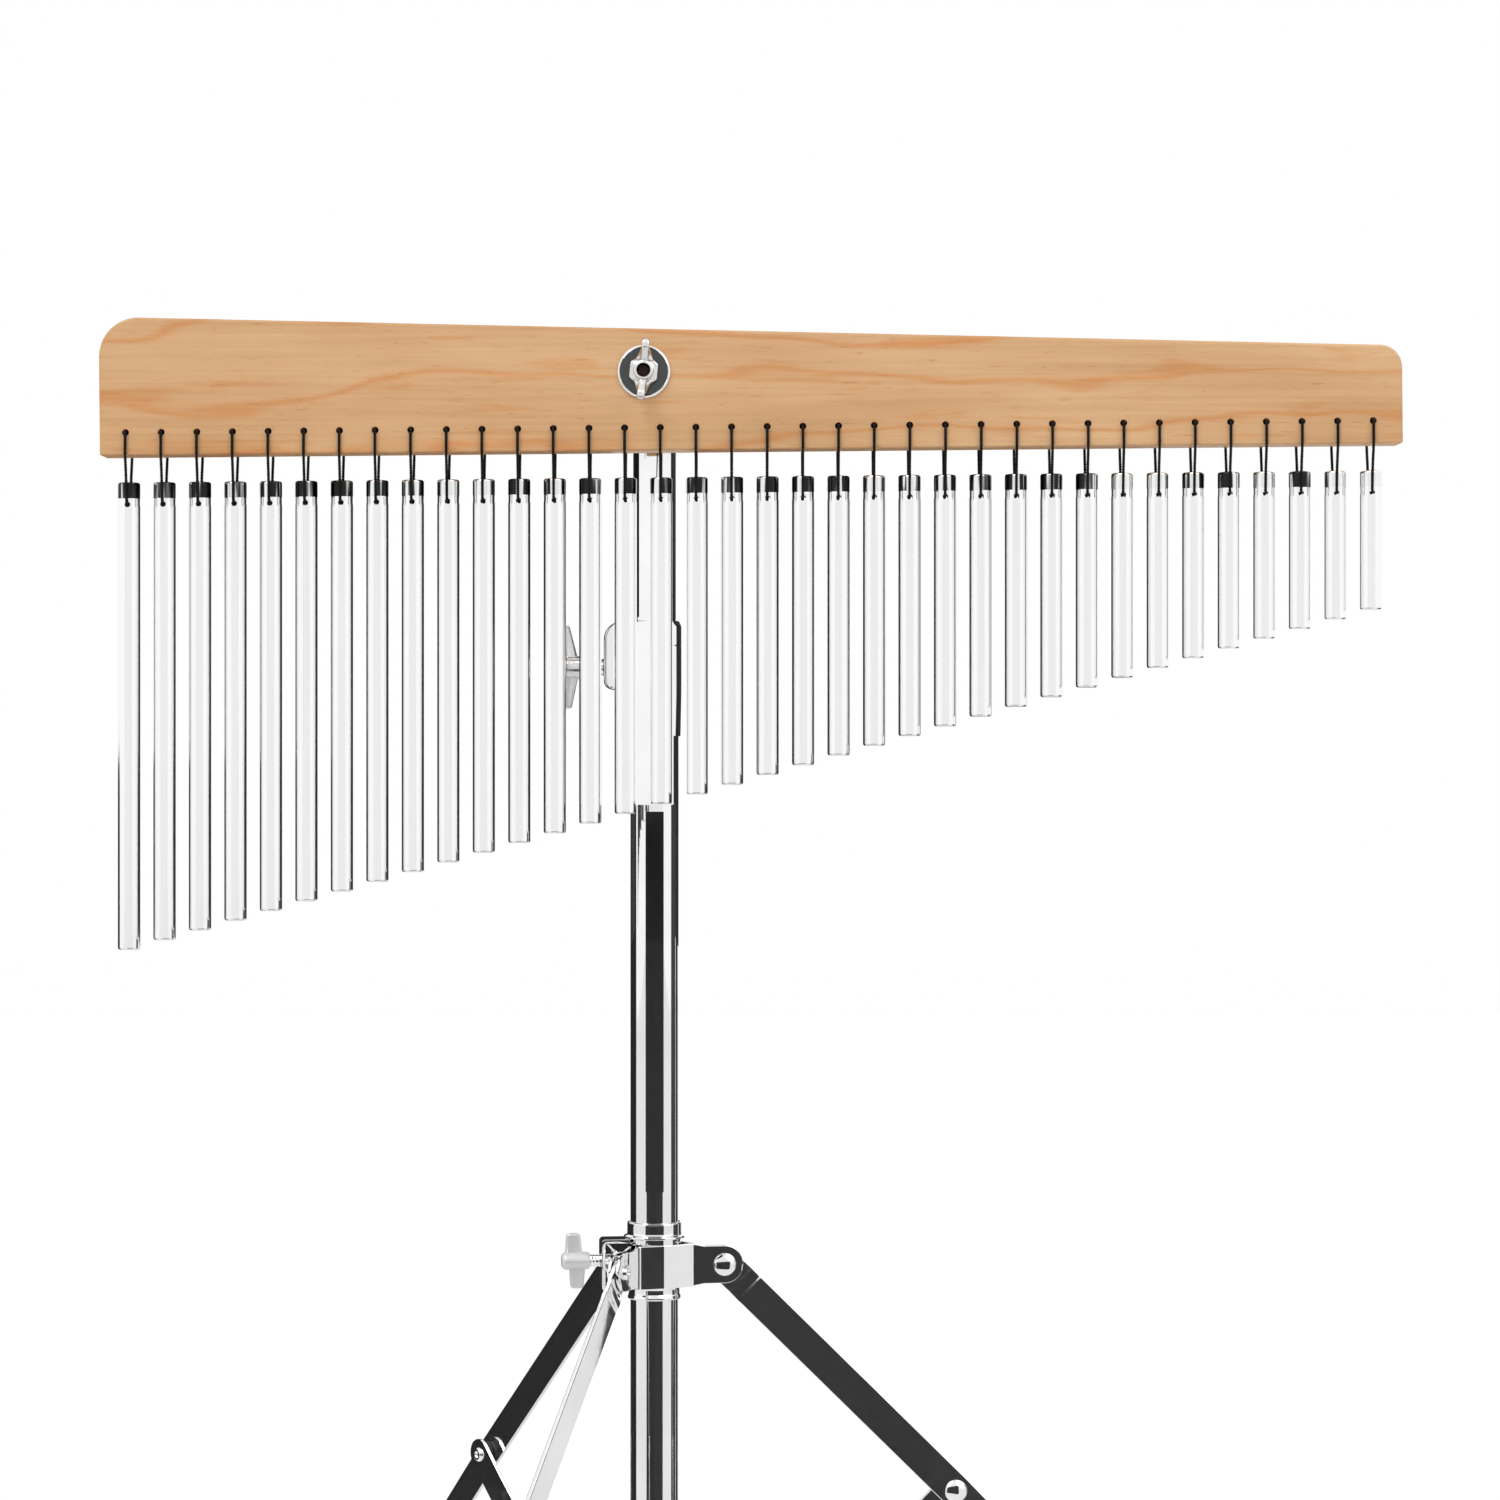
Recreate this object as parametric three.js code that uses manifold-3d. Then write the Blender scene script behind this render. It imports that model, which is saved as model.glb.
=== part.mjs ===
// A sound tree: 36 tuned metal bars hang on one laced cord below a tapered wooden beam,
// and the beam is bolted to a folding tripod stand.
// Millimetres, +Z up, the player stands on the -Y side. The origin is the centre of the
// footprint, on the floor. The shapes are placed about the stand's tube axis first.

import * as THREE from "three";
import { mergeVertices } from "three/addons/utils/BufferGeometryUtils.js";
import Module from "manifold-3d";

const wasm = await Module();
wasm.setup();

// Clearance between pieces that touch, slide or turn on each other
const gap = 0.3;

// Beam
const beamLength = 585;
const beamLeftHeight = 62.4;
const beamRightHeight = 44;
const beamThickness = 18;
const beamTopLeftRadius = 17.5;
const beamTopRightRadius = 10;
const beamBottomRadius = 2;
const beamLean = 0.55; // degrees, the right end stands higher

// Beam bolt, washer and wing nut
const boltFromLeftEnd = 244.6;
const boltAboveBottom = 35.3;
const boltRadius = 3;
const boltHeadRadius = 5.5;
const boltHeadHeight = 4;
const boltReachInNut = 3.5;
const washerRadius = 12;
const washerThickness = 1.5;
const nutFlangeRadius = 6.5;
const nutFlangeHeight = 1.6;
const nutTopRadius = 4.8;
const nutHeight = 6.5;
const nutWingSpan = 28;
const nutWingRise = 11;
const nutWingThickness = 3.6;
const nutTurn = 6; // degrees, how far its wings stand off the vertical

// Bars
const barCount = 36;
const barPitch = 16;
const firstBarFromLeftEnd = 11.7;
const barRadius = 5;
const barEdge = 0.7;
const longestBar = 210.4;
const shortestBar = 62.6;
const barDrop = 11.8; // from the beam's bottom edge to the top of a bar
const barHoleBelowTop = 10;
const barHoleRadius = 1.3;
const barSides = 16;

// Hanging cord
const cordRadius = 0.65;
const cordHoleRadius = 1.6;
const cordHoleAboveBottom = 10.2;
const cordKnotRadius = 2;
const cordRunBelowHole = 2.6; // how far below the holes the cord runs along the beam's back

// Tubes
const mainTubeRadius = 11;
const mainTubeWall = 0.95;
const mainTubeLength = 518;
const mainTubeBelowLowerPivots = 22;
const upperTubeWall = 1.2;
const upperTubeLength = 306;
const upperTubeShown = 98; // from the top of the collar to the top of the upper tube
const tubeSides = 24;

// Beam bracket on top of the upper tube
const bracketReach = 17; // from the beam's back to the tube axis
const boltFromTubeAxis = -3.9;
const bracketThickness = 3;
const bracketWidth = 22;
const bracketNeckWidth = 14;
const bracketCap = 2;
const bracketSocketDepth = 18;
const bracketSocketWall = 2.2;
const bracketAboveCord = 3;
const boltAboveCap = 10.5;

// Height collar with its lug and bushing
const collarHeight = 52.7;
const collarBelowTubeTop = 41;
const collarWall = 1;
const collarBottomWall = 0.6;
const collarTaperHeight = 20;
const collarLip = 1.5;
const collarLipGap = 0.4;
const lugReach = 23;
const lugHeight = 31.5;
const lugWidth = 14;
const lugCorner = 8;
const collarBoltBelowTop = 21.1;

// Height wing bolt and hub wing bolt, measured outwards from the tube axis
const heightBolt = {
  radius: 4,
  hubRadius: 5.2,
  hubStart: 26,
  hubEnd: 41.4,
  wingStart: 34,
  wingEnd: 42.2,
  wingTipStart: 39,
  wingSpan: 37.8,
  wingThickness: 3.4,
};
const hubBolt = {
  radius: 3,
  hubRadius: 4.1,
  hubStart: 29.9,
  hubEnd: 42.7,
  wingStart: 33.2,
  wingEnd: 41,
  wingTipStart: 34.4,
  wingSpan: 25.4,
  wingThickness: 3,
};

// Leg hub, with heights measured from the leg pivots
const legPivotRadius = 31.7;
const hubWall = 1.5;
const hubNeckTop = 19.7;
const hubNeckWall = 0.8;
const flangeTop = 13.7;
const flangeThickness = 1.3;
const flangeRadius = 14;
const bandTop = 9.6;
const bandBottom = -10;
const hubBottom = -15.4;
const hubFootWall = 0.7;
const earThickness = 1.5;
const earHeight = 17.2;
const earFoldRadius = 16.9;
const pinRadius = 2.4;
const rivetHeadRadius = 5.2;
const rivetHeadHeight = 2.2;
const rivetTailRadius = 3.4;
const rivetTailHeight = 1.3;
const stirrupReach = 24.9;
const stirrupThickness = 1.8;
const stirrupTop = 12.3;
const stirrupBottom = -10.9;
const stirrupWidth = 13;
const hubBoltHeight = 2.2;
const clampStripThickness = 1.2;
const clampStripWidth = 11;
const clampStripBow = 5;

// Legs: flat strips that lean out from the hub
const firstLegAzimuth = 7.6;
const legPlaneShift = -2.7; // the legs' planes pass beside the tube's axis
const legNames = ["right", "rear", "front"];
const legLean = 43.66; // degrees from vertical
const legLength = 392;
const legWidth = 15;
const legThickness = 2;
const legOffset = 4.3; // the strip's middle line passes this far above its pivot
const legShoulder = 22; // length over which the strip bends from its pivot to its middle line

// Braces: their upper rivets are on the legs, their lower ones on the lower collar
const braceRivetAlongLeg = 151.6;
const braceWidth = 12;
const braceThickness = 1.5;
const braceForkGap = 2;
const braceForkStraight = 7;
const braceForkBend = 19;

// Lower collar
const lowerCollarWall = 2.2;
const lowerCollarHeight = 16;
const lowerEarHeight = 14;

// Rubber feet
const footSole = 4;
const footCover = 28;
const footWall = 3;
const footToe = 9;
const footHeel = 11;

const degrees = Math.PI / 180;

const materials = {
  wood: new THREE.MeshStandardMaterial({ color: 0xd0a678, roughness: 0.5 }),
  barMetal: new THREE.MeshStandardMaterial({ color: 0xe6e6e6, roughness: 0.15, metalness: 1 }),
  chrome: new THREE.MeshStandardMaterial({ color: 0xd8d8d8, roughness: 0.1, metalness: 1 }),
  cord: new THREE.MeshStandardMaterial({ color: 0x141414, roughness: 0.9 }),
  rubber: new THREE.MeshStandardMaterial({ color: 0x1c1c1c, roughness: 0.8 }),
  nylon: new THREE.MeshStandardMaterial({ color: 0x202020, roughness: 0.5 }),
};

// Solids and booleans

function toSolid(geometry) {
  const loose = geometry.index ? geometry.toNonIndexed() : geometry;
  const bare = new THREE.BufferGeometry();
  bare.setAttribute("position", loose.getAttribute("position").clone());
  const merged = mergeVertices(bare, 1e-4);
  const corners = merged.index.array;
  const triVerts = [];
  for (let i = 0; i < corners.length; i += 3) {
    const [a, b, c] = corners.slice(i, i + 3);
    if (a !== b && b !== c && c !== a) triVerts.push(a, b, c);
  }
  return new wasm.Manifold(
    new wasm.Mesh({
      numProp: 3,
      vertProperties: merged.getAttribute("position").array,
      triVerts: new Uint32Array(triVerts),
    }),
  );
}

function toGeometry(solid) {
  const mesh = solid.getMesh();
  const geometry = new THREE.BufferGeometry();
  const position = new Float32Array(mesh.vertProperties);
  geometry.setAttribute("position", new THREE.BufferAttribute(position, 3));
  geometry.setIndex(new THREE.BufferAttribute(new Uint32Array(mesh.triVerts), 1));
  geometry.computeVertexNormals();
  return geometry;
}

function joined(geometries) {
  return toGeometry(geometries.map(toSolid).reduce((a, b) => a.add(b)));
}

function cut(geometry, tools) {
  return toGeometry(tools.map(toSolid).reduce((a, b) => a.subtract(b), toSolid(geometry)));
}

function common(a, b) {
  return toGeometry(toSolid(a).intersect(toSolid(b)));
}

// Basic shapes

// A body turned about Z from [radius, height] points that run up its outside
function turned(points, sides = tubeSides) {
  const profile = points.map(([radius, height]) => new THREE.Vector2(radius, height));
  return new THREE.LatheGeometry(profile, sides).rotateX(Math.PI / 2);
}

function disc(radius, bottom, top, sides = tubeSides) {
  return turned([[0, bottom], [radius, bottom], [radius, top], [0, top]], sides);
}

function ring(inner, outer, bottom, top, sides = tubeSides) {
  const corners = [[inner, bottom], [outer, bottom], [outer, top], [inner, top], [inner, bottom]];
  return turned(corners, sides);
}

// A round bar or bore along Y
function crossDisc(radius, front, back, sides) {
  return disc(radius, -back, -front, sides).rotateX(Math.PI / 2);
}

// A round bar or bore along X
function sideDisc(radius, start, end, sides) {
  return disc(radius, start, end, sides).rotateY(Math.PI / 2);
}

// A rivet's domed head on a face at y = front, standing out towards -Y
function rivetHead(place, front) {
  const head = turned(
    [
      [0, -0.5],
      [rivetHeadRadius, -0.5],
      [rivetHeadRadius, 0],
      [rivetHeadRadius * 0.94, rivetHeadHeight * 0.45],
      [rivetHeadRadius * 0.6, rivetHeadHeight * 0.85],
      [0, rivetHeadHeight],
    ],
    14,
  );
  return head.rotateX(Math.PI / 2).translate(place.x, front, place.y);
}

// A closed outline through [x, y, radius] corners, each rounded by its own radius
function outline(corners, steps = 5) {
  const points = [];
  const at = (i) => new THREE.Vector2(...corners[(i + corners.length) % corners.length]);
  corners.forEach(([, , radius = 0], i) => {
    const corner = at(i);
    if (!radius) {
      points.push(corner);
      return;
    }
    const back = at(i - 1).sub(corner).normalize();
    const on = at(i + 1).sub(corner).normalize();
    const half = Math.acos(THREE.MathUtils.clamp(back.dot(on), -1, 1)) / 2;
    const middle = back.clone().add(on).normalize();
    const centre = corner.clone().addScaledVector(middle, radius / Math.sin(half));
    const start = corner.clone().addScaledVector(back, radius / Math.tan(half)).sub(centre);
    const turn = (Math.PI - 2 * half) * Math.sign(back.cross(on)) * -1;
    for (let k = 0; k <= steps; k += 1) {
      const spoke = start.clone().rotateAround(new THREE.Vector2(), (turn * k) / steps);
      points.push(centre.clone().add(spoke));
    }
  });
  return new THREE.Shape(points);
}

// An outline drawn in X and Z, made solid from y = front to y = back
function upright(shape, front, back) {
  const settings = { depth: back - front, bevelEnabled: false, steps: 1 };
  return new THREE.ExtrudeGeometry(shape, settings).rotateX(Math.PI / 2).translate(0, back, 0);
}

// An outline drawn in X and Y, made solid from z = bottom to z = top
function flat(shape, bottom, top) {
  const settings = { depth: top - bottom, bevelEnabled: false, steps: 1 };
  return new THREE.ExtrudeGeometry(shape, settings).translate(0, 0, bottom);
}

// The outline of a strip with round ends between two points
function stripOutline(from, to, width, steps = 6) {
  const along = Math.atan2(to.y - from.y, to.x - from.x);
  const points = [];
  for (const [centre, start] of [[to, along - Math.PI / 2], [from, along + Math.PI / 2]]) {
    for (let k = 0; k <= steps; k += 1) {
      const angle = start + (Math.PI * k) / steps;
      const spoke = new THREE.Vector2(Math.cos(angle), Math.sin(angle)).multiplyScalar(width / 2);
      points.push(spoke.add(centre));
    }
  }
  return new THREE.Shape(points);
}

function named(name, geometry, material) {
  const mesh = new THREE.Mesh(geometry, material.clone());
  mesh.name = name;
  return mesh;
}

// Where things stand. Heights are above the floor.

const lean = legLean * degrees;
const legAlong = new THREE.Vector2(Math.sin(lean), -Math.cos(lean));
const legUp = new THREE.Vector2(Math.cos(lean), Math.sin(lean));

// A point of a leg, given along the strip from its pivot and above the pivot's line
function legPoint(along, above) {
  return new THREE.Vector2(legPivotRadius, 0)
    .addScaledVector(legAlong, along)
    .addScaledVector(legUp, above);
}

const hubHeight = footSole - legPoint(legLength, legOffset - legWidth / 2).y;
const braceTop = legPoint(braceRivetAlongLeg, legOffset);
const braceFoot = new THREE.Vector2(legPivotRadius, 2 * braceTop.y);
const lowerCollarHeightAboveFloor = hubHeight + braceFoot.y;
const mainTubeBottom = lowerCollarHeightAboveFloor - mainTubeBelowLowerPivots;
const mainTubeTop = mainTubeBottom + mainTubeLength;
const collarBottom = mainTubeTop - collarBelowTubeTop;
const collarTop = collarBottom + collarHeight;
const collarBoltHeight = collarTop - collarBoltBelowTop;
const upperTubeTop = collarTop + upperTubeShown;
const boltHeight = upperTubeTop + gap + bracketCap + boltAboveCap;

const mainTubeBore = mainTubeRadius - mainTubeWall;
const upperTubeRadius = mainTubeBore - gap;
const slidingBore = mainTubeRadius + gap;
const socketBore = upperTubeRadius + gap;

const beamMiddle = -bracketReach - beamThickness / 2; // y of the beam's middle plane
const beamBack = beamThickness / 2;
const beamFront = -beamThickness / 2;
const beamBottomEdge = -boltAboveBottom;

// The beam's own frame: origin on the bolt axis in the beam's middle plane, leaning with the beam
const beamFrame = new THREE.Group();
beamFrame.position.set(boltFromTubeAxis, beamMiddle, boltHeight);
beamFrame.rotation.y = -beamLean * degrees;
beamFrame.updateMatrixWorld();

function legAzimuth(i) {
  return (firstLegAzimuth + 120 * i) * degrees;
}

function barX(i) {
  return firstBarFromLeftEnd - boltFromLeftEnd + i * barPitch;
}

function beamPoint(x, y, z) {
  return new THREE.Vector3(x, y, z).applyMatrix4(beamFrame.matrixWorld);
}

// Beam, its bolt, washer and wing nut

function beam() {
  const left = -boltFromLeftEnd;
  const right = beamLength - boltFromLeftEnd;
  const shape = outline(
    [
      [left, beamBottomEdge, beamBottomRadius],
      [right, beamBottomEdge, beamBottomRadius],
      [right, beamBottomEdge + beamRightHeight, beamTopRightRadius],
      [left, beamBottomEdge + beamLeftHeight, beamTopLeftRadius],
    ],
    8,
  );
  const past = 1;
  const holes = [crossDisc(boltRadius + gap, beamFront - past, beamBack + past, 16)];
  for (let i = 0; i < barCount; i += 1) {
    const hole = crossDisc(cordHoleRadius, beamFront - past, beamBack + past, 8);
    holes.push(hole.translate(barX(i), 0, beamBottomEdge + cordHoleAboveBottom));
  }
  return named("beam", cut(upright(shape, beamFront, beamBack), holes), materials.wood);
}

function beamWasher() {
  const back = beamFront - gap;
  const washer = ring(boltRadius + gap, washerRadius, 0, washerThickness, 32);
  washer.rotateX(Math.PI / 2).translate(0, back, 0);
  return named("beam_washer", washer, materials.chrome);
}

const nutBack = beamFront - gap - washerThickness - gap;

function beamWingNut() {
  const body = turned([
    [0, 0],
    [nutFlangeRadius, 0],
    [nutFlangeRadius, nutFlangeHeight],
    [nutTopRadius + 0.7, nutFlangeHeight + 1],
    [nutTopRadius, nutHeight],
    [0, nutHeight],
  ]);
  const root = nutFlangeHeight + 0.4;
  const tip = nutWingSpan / 2;
  const wings = [1, -1].map((side) => {
    const corners = [
      [boltRadius * side, root, 0],
      [nutTopRadius * 1.5 * side, root, 1],
      [tip * side, nutWingRise * 0.55, 2],
      [tip * side, nutWingRise, 2.5],
      [(tip - 5) * side, nutWingRise, 2],
      [boltRadius * side, nutHeight, 0],
    ];
    const shape = outline(side > 0 ? corners : corners.reverse(), 4);
    return upright(shape, -nutWingThickness / 2, nutWingThickness / 2);
  });
  const bore = disc(boltRadius + gap, -1, nutWingRise + 1, 12);
  const nut = cut(joined([body, ...wings]), [bore]);
  nut.rotateY(Math.PI / 2).rotateZ(-Math.PI / 2).rotateY(nutTurn * degrees);
  nut.translate(0, nutBack, 0);
  return named("beam_wing_nut", nut, materials.chrome);
}

const bracketFront = beamBack + gap;
const bracketBack = bracketFront + bracketThickness;

function beamBolt() {
  const headBack = bracketBack + gap + boltHeadHeight;
  const shank = crossDisc(boltRadius, nutBack - boltReachInNut, headBack - 1, 12);
  const head = crossDisc(boltHeadRadius, bracketBack + gap, headBack, 6);
  return named("beam_bolt", joined([shank, head]), materials.chrome);
}

// Bracket: a plate behind the beam, joined by a neck to a socket on the upper tube

function beamBracket() {
  const bottom = -boltAboveCap - bracketCap - bracketSocketDepth;
  const top = -boltAboveCap;
  const plateBottom = beamBottomEdge + cordHoleAboveBottom + bracketAboveCord;
  const half = bracketWidth / 2;
  const plate = upright(
    outline(
      [
        [-half, plateBottom, 2],
        [half, plateBottom, 2],
        [half, half, half * 0.9],
        [-half, half, half * 0.9],
      ],
      8,
    ),
    bracketFront,
    bracketBack,
  );
  const axisX = -boltFromTubeAxis;
  const axisY = beamBack + bracketReach;
  const socket = disc(socketBore + bracketSocketWall, bottom, top).translate(axisX, axisY, 0);
  const neckHalf = bracketNeckWidth / 2;
  const neck = upright(
    outline([
      [axisX - neckHalf, plateBottom],
      [axisX + neckHalf, plateBottom],
      [axisX + neckHalf, top],
      [axisX - neckHalf, top],
    ]),
    bracketFront,
    axisY - socketBore + 1,
  );
  const bore = disc(socketBore, bottom - 1, top - bracketCap).translate(axisX, axisY, 0);
  const boltHole = crossDisc(boltRadius + gap, bracketFront - 1, bracketBack + 1, 16);
  const bracket = cut(joined([plate, socket, neck]), [bore, boltHole]);
  return named("beam_bracket", bracket, materials.chrome);
}

// Bars

function barLength(i) {
  return longestBar + ((shortestBar - longestBar) * i) / (barCount - 1);
}

function barTop(i) {
  return beamPoint(barX(i), 0, beamBottomEdge - barDrop);
}

function bar(i) {
  const length = barLength(i);
  const rod = turned(
    [
      [0, -length],
      [barRadius - barEdge, -length],
      [barRadius, barEdge - length],
      [barRadius, -barEdge],
      [barRadius - barEdge, 0],
      [0, 0],
    ],
    barSides,
  );
  const hole = crossDisc(barHoleRadius, -barRadius - 1, barRadius + 1, 6);
  hole.translate(0, 0, -barHoleBelowTop);
  const number = String(i + 1).padStart(2, "0");
  const mesh = named("bar_" + number, cut(rod, [hole]), materials.barMetal);
  mesh.position.copy(barTop(i));
  return mesh;
}

// Hanging cord: it enters each beam hole from the back, runs down the front, through the bar,
// up the back, and along the beam's back to the next hole

class Route extends THREE.Curve {
  constructor(points) {
    super();
    this.points = points;
  }
  getPointAt(share) {
    return this.points[Math.round(share * (this.points.length - 1))].clone();
  }
  getTangentAt(share) {
    const i = Math.round(share * (this.points.length - 1));
    const from = this.points[Math.max(i - 1, 0)];
    const to = this.points[Math.min(i + 1, this.points.length - 1)];
    return to.clone().sub(from).normalize();
  }
}

function cordLoop(i) {
  const holeHeight = beamBottomEdge + cordHoleAboveBottom;
  const hole = beamPoint(barX(i), 0, holeHeight);
  const edge = beamPoint(barX(i), 0, beamBottomEdge);
  const pierced = barTop(i).z - barHoleBelowTop;
  const onBeam = beamThickness / 2 + gap + cordRadius;
  const onBar = barRadius + gap + cordRadius;
  const at = (x, y, z) => new THREE.Vector3(hole.x + x, beamMiddle + y, z);
  const front = [
    at(0, -onBeam + 0.5, hole.z),
    at(0, -onBeam - 0.15, hole.z - 0.9),
    at(0, -onBeam, hole.z - 2.2),
    at(0, -onBeam, edge.z),
    at(0, -onBar - 0.25, pierced + 2),
    at(0, -onBar + 0.4, pierced),
  ];
  const back = [
    at(0, onBar - 0.4, pierced),
    at(0, onBar + 0.25, pierced + 2),
    at(0, onBeam, edge.z),
    at(0, onBeam, hole.z - cordRunBelowHole - 1),
  ];
  const arrival = [
    at(-1.6, onBeam, hole.z - 0.4),
    at(-0.5, onBeam, hole.z),
    at(0, onBeam - 0.7, hole.z),
  ];
  const fromKnot = [at(0, onBeam + cordKnotRadius, hole.z)];
  const leaving = [at(1.1, onBeam, hole.z - cordRunBelowHole)];
  const toKnot = [at(0, onBeam + cordKnotRadius / 2, hole.z - cordKnotRadius)];
  return [
    ...(i > 0 ? arrival : fromKnot),
    ...front,
    ...back,
    ...(i < barCount - 1 ? leaving : toKnot),
  ];
}

function cordKnot(i) {
  const hole = beamPoint(barX(i), 0, beamBottomEdge + cordHoleAboveBottom);
  const knotY = beamMiddle + beamBack + gap + cordKnotRadius;
  return new THREE.SphereGeometry(cordKnotRadius, 8, 6).translate(hole.x, knotY, hole.z);
}

function hangingCord() {
  const points = [];
  for (let i = 0; i < barCount; i += 1) points.push(...cordLoop(i));
  const corners = [];
  for (let k = 0; k < 5; k += 1) {
    const angle = (2 * Math.PI * k) / 5;
    corners.push(new THREE.Vector2(Math.cos(angle), Math.sin(angle)).multiplyScalar(cordRadius));
  }
  const settings = { steps: points.length - 1, bevelEnabled: false, extrudePath: new Route(points) };
  const cord = new THREE.ExtrudeGeometry(new THREE.Shape(corners), settings);
  const knots = [cordKnot(0), cordKnot(barCount - 1)];
  return named("hanging_cord", joined([cord, ...knots]), materials.cord);
}

// Tubes, height collar and bushing

function mainTube() {
  const tube = ring(mainTubeBore, mainTubeRadius, mainTubeBottom, mainTubeTop);
  const hole = sideDisc(heightBolt.radius + gap, -mainTubeRadius - 1, 0, 12);
  return named("main_tube", cut(tube, [hole.translate(0, 0, collarBoltHeight)]), materials.chrome);
}

function upperTube() {
  const bottom = upperTubeTop - upperTubeLength;
  const tube = ring(upperTubeRadius - upperTubeWall, upperTubeRadius, bottom, upperTubeTop);
  return named("upper_tube", tube, materials.chrome);
}

function heightCollar() {
  const outer = slidingBore + collarWall;
  const body = turned([
    [0, collarBottom],
    [slidingBore + collarBottomWall, collarBottom],
    [outer, collarBottom + collarTaperHeight],
    [outer, collarTop],
    [0, collarTop],
  ]);
  const lug = upright(
    outline([
      [-lugReach, collarTop - lugHeight, lugCorner / 2],
      [0, collarTop - lugHeight],
      [0, collarTop],
      [-lugReach, collarTop, lugCorner],
    ]),
    -lugWidth / 2,
    lugWidth / 2,
  );
  const bore = disc(slidingBore, collarBottom - 1, collarTop - collarLip);
  const lipBore = disc(upperTubeRadius + collarLipGap, collarBottom, collarTop + 1);
  const boltHole = sideDisc(heightBolt.radius + gap, -lugReach - 1, 0, 12);
  boltHole.translate(0, 0, collarBoltHeight);
  const collar = cut(joined([body, lug]), [bore, lipBore, boltHole]);
  return named("height_collar", collar, materials.chrome);
}

function collarBushing() {
  const bottom = mainTubeTop + gap;
  const top = collarTop - collarLip - gap;
  const bushing = ring(upperTubeRadius + gap, slidingBore - gap, bottom, top);
  return named("collar_bushing", bushing, materials.nylon);
}

// A wing bolt along +X, with its tip near the tube it presses on

function wingBolt(size, tip) {
  const shank = sideDisc(size.radius, tip, size.hubStart + 1, 12);
  const hub = sideDisc(size.hubRadius, size.hubStart, size.hubEnd, 12);
  const half = size.wingSpan / 2;
  const wings = upright(
    outline(
      [
        [size.wingStart, -size.hubRadius * 0.6, 0],
        [size.wingTipStart, -half, 1],
        [size.wingEnd, -half, 2],
        [size.wingEnd, half, 2],
        [size.wingTipStart, half, 1],
        [size.wingStart, size.hubRadius * 0.6, 0],
      ],
      4,
    ),
    -size.wingThickness / 2,
    size.wingThickness / 2,
  );
  return joined([shank, hub, wings]);
}

function heightWingBolt() {
  const bolt = wingBolt(heightBolt, upperTubeRadius + gap).rotateZ(Math.PI);
  const mesh = named("height_wing_bolt", bolt, materials.chrome);
  mesh.position.z = collarBoltHeight;
  return mesh;
}

function hubWingBolt() {
  const mesh = named("hub_wing_bolt", wingBolt(hubBolt, slidingBore), materials.chrome);
  mesh.position.z = hubBoltHeight;
  return mesh;
}

// Rivet: a pin across the strips, a domed head on its front end, a flat tail on its back end

function rivet(place, front, back, sides = 10) {
  const pin = crossDisc(pinRadius, front - 0.5, back + 0.5, sides).translate(place.x, 0, place.y);
  const tail = crossDisc(rivetTailRadius, back - 0.5, back + rivetTailHeight, sides);
  return [pin, rivetHead(place, front), tail.translate(place.x, 0, place.y)];
}

const legHalf = legThickness / 2;
const earInner = legHalf + gap;
const earOuter = earInner + earThickness;

// A pair of ears for one leg, with the folded sheet that joins each to the band

function hubEars() {
  const reach = legPivotRadius + earHeight / 2;
  const half = earHeight / 2;
  const root = slidingBore - 1;
  const shape = outline(
    [
      [root, -half],
      [reach, -half, half * 0.98],
      [reach, half, half * 0.98],
      [root, half],
    ],
    7,
  );
  const bandRadius = slidingBore + hubWall;
  const sunk = 0.35; // how far the folded sheet's ends reach into the band and the ear
  const pieces = [upright(shape, -earOuter, -earInner), upright(shape, earInner, earOuter)];
  pieces.push(...rivet(new THREE.Vector2(legPivotRadius, 0), -earOuter, earOuter));
  pieces.forEach((piece) => piece.translate(0, legPlaneShift, 0));
  for (const side of [1, -1]) {
    const fold = new THREE.Vector2(earFoldRadius, legPlaneShift + side * (earOuter - sunk));
    const tangent = Math.atan2(fold.y, fold.x) + side * Math.acos(bandRadius / fold.length());
    const leave = new THREE.Vector2(bandRadius - sunk, 0).rotateAround(new THREE.Vector2(), tangent);
    const inward = leave.clone().setLength(slidingBore + 0.1);
    const inner = new THREE.Vector2(earFoldRadius - earThickness, legPlaneShift + side * (earInner + sunk));
    const corners = [leave, fold, inner, inward];
    const sheet = new THREE.Shape(side > 0 ? corners.reverse() : corners);
    pieces.push(flat(sheet, bandBottom, bandTop));
  }
  return pieces;
}

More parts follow.
